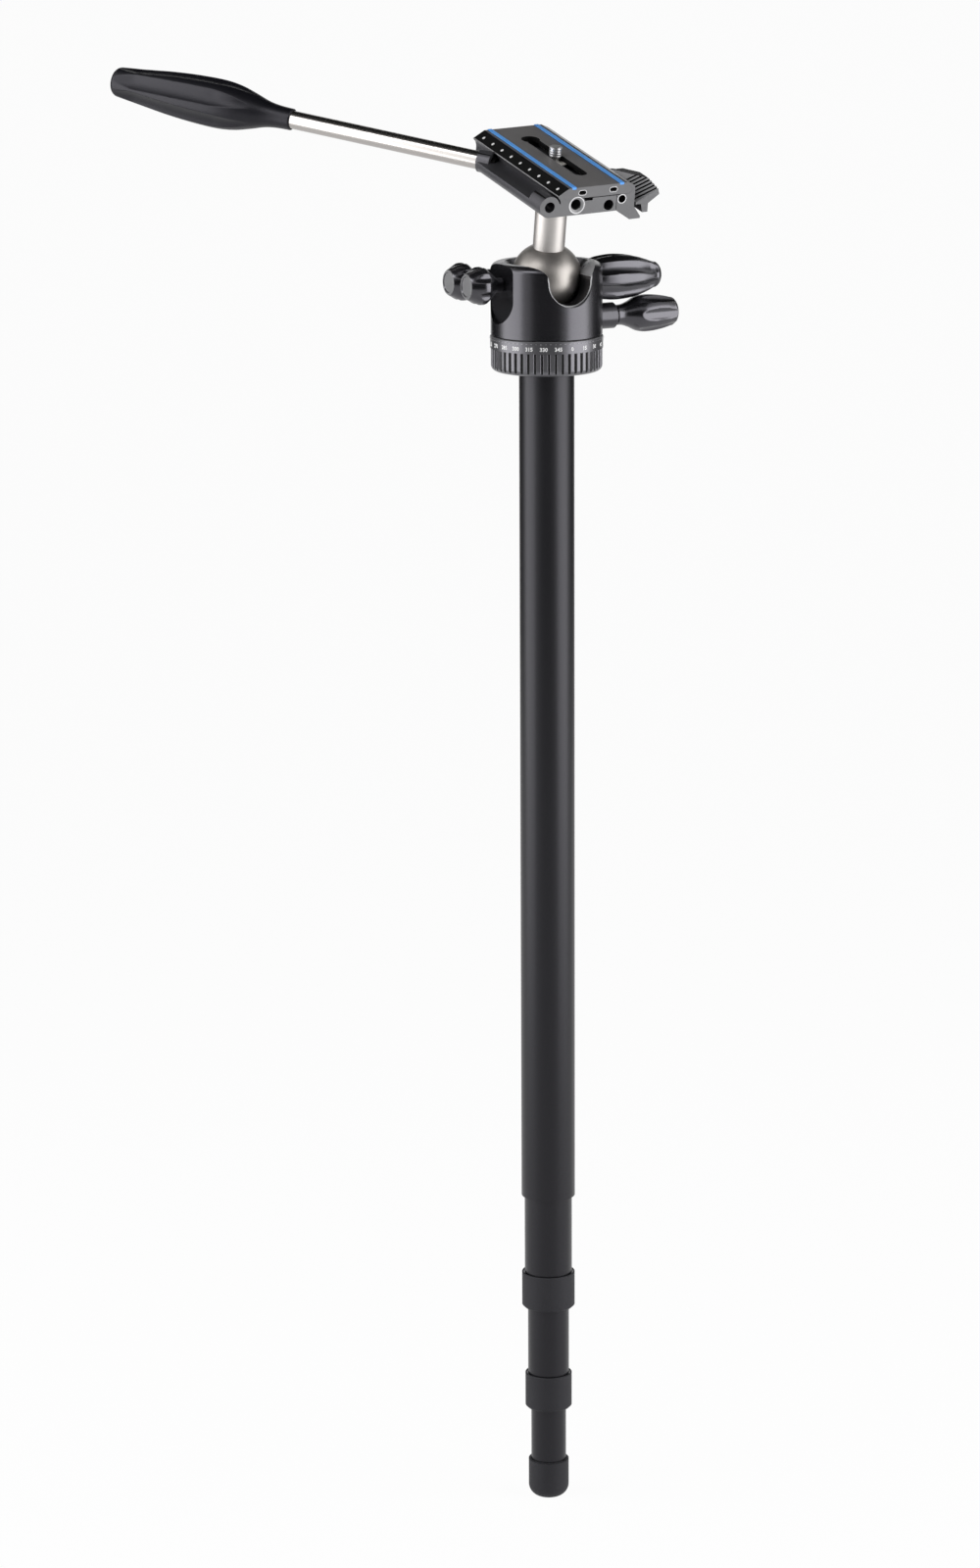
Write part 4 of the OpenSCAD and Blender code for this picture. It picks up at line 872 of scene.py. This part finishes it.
def sees_white(tree):
    """1 for rays from the camera and for those that metal or glass send on, otherwise 0."""
    rays = tree.nodes.new("ShaderNodeLightPath")
    total = rays.outputs["Is Camera Ray"]
    for kind in ("Is Glossy Ray", "Is Transmission Ray"):
        either = tree.nodes.new("ShaderNodeMath")
        either.operation = "MAXIMUM"
        tree.links.new(total, either.inputs[0])
        tree.links.new(rays.outputs[kind], either.inputs[1])
        total = either.outputs["Value"]
    return total


def sheet_mesh(name, w, h, mat):
    """A flat rectangle round the origin that reaches w and h metres to either side."""
    mesh = bpy.data.meshes.new(name)
    mesh.from_pydata([(-w, -h, 0), (w, -h, 0), (w, h, 0), (-w, h, 0)], [], [(0, 1, 2, 3)])
    mesh.materials.append(mat)
    return mesh


floor_mat = bpy.data.materials.new("studio_floor")
floor_mat.use_nodes = True
floor_tree = floor_mat.node_tree
matt = floor_tree.nodes["Principled BSDF"]
matt.inputs["Base Color"].default_value = (0.86, 0.86, 0.87, 1)
matt.inputs["Roughness"].default_value = 0.9
glow = floor_tree.nodes.new("ShaderNodeEmission")
part_white = floor_tree.nodes.new("ShaderNodeMath")
part_white.operation = "MULTIPLY"
part_white.inputs[1].default_value = FLOOR_WHITE
blend = floor_tree.nodes.new("ShaderNodeMixShader")
floor_out = floor_tree.nodes["Material Output"]
for source, target in ((sees_white(floor_tree), part_white.inputs[0]),
                       (part_white.outputs["Value"], blend.inputs["Fac"]),
                       (matt.outputs["BSDF"], blend.inputs[1]),
                       (glow.outputs["Emission"], blend.inputs[2]),
                       (blend.outputs["Shader"], floor_out.inputs["Surface"])):
    floor_tree.links.new(source, target)
floor = new_object("floor", sheet_mesh("floor", FLOOR_HALF, FLOOR_HALF, floor_mat))

world = bpy.data.worlds.new("studio")
world.use_nodes = True
bpy.context.scene.world = world
sky_tree = world.node_tree
soft = sky_tree.nodes["Background"]
soft.inputs["Color"].default_value = (1, 1, 1, 1)
soft.inputs["Strength"].default_value = SKY_LIGHT
white = sky_tree.nodes.new("ShaderNodeBackground")
white.inputs["Color"].default_value = (1, 1, 1, 1)
white.inputs["Strength"].default_value = SKY_WHITE
sky = sky_tree.nodes.new("ShaderNodeMixShader")
sky_out = sky_tree.nodes["World Output"]
for source, target in ((sees_white(sky_tree), sky.inputs["Fac"]),
                       (soft.outputs["Background"], sky.inputs[1]),
                       (white.outputs["Background"], sky.inputs[2]),
                       (sky.outputs["Shader"], sky_out.inputs["Surface"])):
    sky_tree.links.new(source, target)
print("studio ready")

# %% [markdown]
# ## Lamps
# Black metal is seen by what it mirrors. Two wide, tall softboxes stand left and right of the
# camera, so each tube and the housing get a broad pale band on either side and a dark line
# between them. A small softbox above fills the tops. Directions are degrees round the monopod,
# and -90 is straight in front.

# %% Softboxes
AIM = Vector((0, 0, 0.42))          # what lamps and cards are turned to


def stand(item, direction, distance, height):
    away = math.radians(direction)
    item.location = (distance * math.cos(away), distance * math.sin(away), height)
    item.rotation_euler = (AIM - item.location).to_track_quat("-Z", "Y").to_euler()


def softbox(name, direction, distance, size, power, height):
    lamp = bpy.data.lights.new(name, "AREA")
    lamp.shape = "RECTANGLE"
    lamp.size, lamp.size_y = size
    lamp.energy = power
    stand(new_object(name, lamp), direction, distance, height)


# direction in degrees, distance in metres, width and height in metres, watts, height above floor
softbox("softbox_left", 166, 1.2, (1.1, 1.6), 17, 0.6)
softbox("softbox_right", -48, 1.2, (1.1, 1.6), 20, 0.6)
softbox("softbox_top", -160, 1.3, (0.9, 0.5), 7.5, 1.9)

# %% [markdown]
# ## Black cards
# In an all-white room a black knob mirrors white from every side and looks grey. Photographers
# put cards of black felt where the object would mirror the room, and so get deep blacks with
# clear edges. The cards here are part of the studio, not of the monopod, and the camera doesn't
# see them.

# %% Cards of black felt
felt = bpy.data.materials.new("black_felt")
felt.use_nodes = True
felt_shader = felt.node_tree.nodes["Principled BSDF"]
felt_shader.inputs["Base Color"].default_value = (0.01, 0.01, 0.01, 1)
felt_shader.inputs["Roughness"].default_value = 1.0


def black_card(name, direction, distance, size, height):
    card = new_object(name, sheet_mesh(name, size[0] / 2, size[1] / 2, felt))
    stand(card, direction, distance, height)
    card.visible_camera = False
    return card


# direction in degrees, distance in metres, width and height in metres, height above the floor
cards = [black_card("card_front", -117, 2.0, (2.6, 1.6), 0.8),
         black_card("card_left", 110, 1.7, (1.5, 1.6), 0.8),
         black_card("card_right", 12, 1.7, (1.5, 1.6), 0.8),
         black_card("card_top", 63, 0.3, (2.8, 5.0), 2.5)]
print("cards:", len(cards))

# %% [markdown]
# ## Camera
# A long lens from about two and a half metres keeps upright lines nearly parallel, as in a
# product photograph. It stands a little above and to the left of the notch. The direction, the
# distance and the shift were fitted to points that can be measured in the photograph: the tip of
# the foot, both edges of the ring, the corners of the plate and the end of the grip.

# %% Camera
SENSOR = 36                         # mm, high
PICTURE_HIGH = 1600                 # pixels of the photograph
FOCAL_PIXELS = 4900
AWAY = 2.4671                       # metres from the point aimed at
AIMED_HEIGHT = 0.4
TO_LEFT = math.radians(26.9065)
LOOK_DOWN = math.radians(13.0244)
LEAN = math.radians(-0.2685)
SHIFT_LEFT, SHIFT_UP = 58.5957, -23.2381      # pixels of the photograph

camera_data = bpy.data.cameras.new("portrait_camera")
camera_data.sensor_fit = "VERTICAL"
camera_data.sensor_height = SENSOR
camera_data.lens = FOCAL_PIXELS * SENSOR / PICTURE_HIGH
camera_data.clip_end = 20
camera = new_object("portrait_camera", camera_data)
ahead = Vector((math.sin(TO_LEFT) * math.cos(LOOK_DOWN), math.cos(TO_LEFT) * math.cos(LOOK_DOWN),
                -math.sin(LOOK_DOWN)))
across = ahead.cross(Vector((0, 0, 1))).normalized()
up = across.cross(ahead)
across, up = (across * math.cos(LEAN) + up * math.sin(LEAN),
              up * math.cos(LEAN) - across * math.sin(LEAN))
pixel = AWAY / FOCAL_PIXELS
spot = (Vector((0, 0, AIMED_HEIGHT)) - ahead * AWAY - across * (SHIFT_LEFT * pixel)
        + up * (SHIFT_UP * pixel))
camera.matrix_world = (Matrix.Translation(spot)
                       @ Matrix((across, up, -ahead)).transposed().to_4x4())
bpy.context.scene.camera = camera
bpy.context.scene.view_settings.view_transform = "Standard"
print("camera at", [round(v, 3) for v in camera.location])

# %% [markdown]
# ## Last step
# The view layer is brought up to date once more.

# %% Update the view layer
bpy.context.view_layer.update()
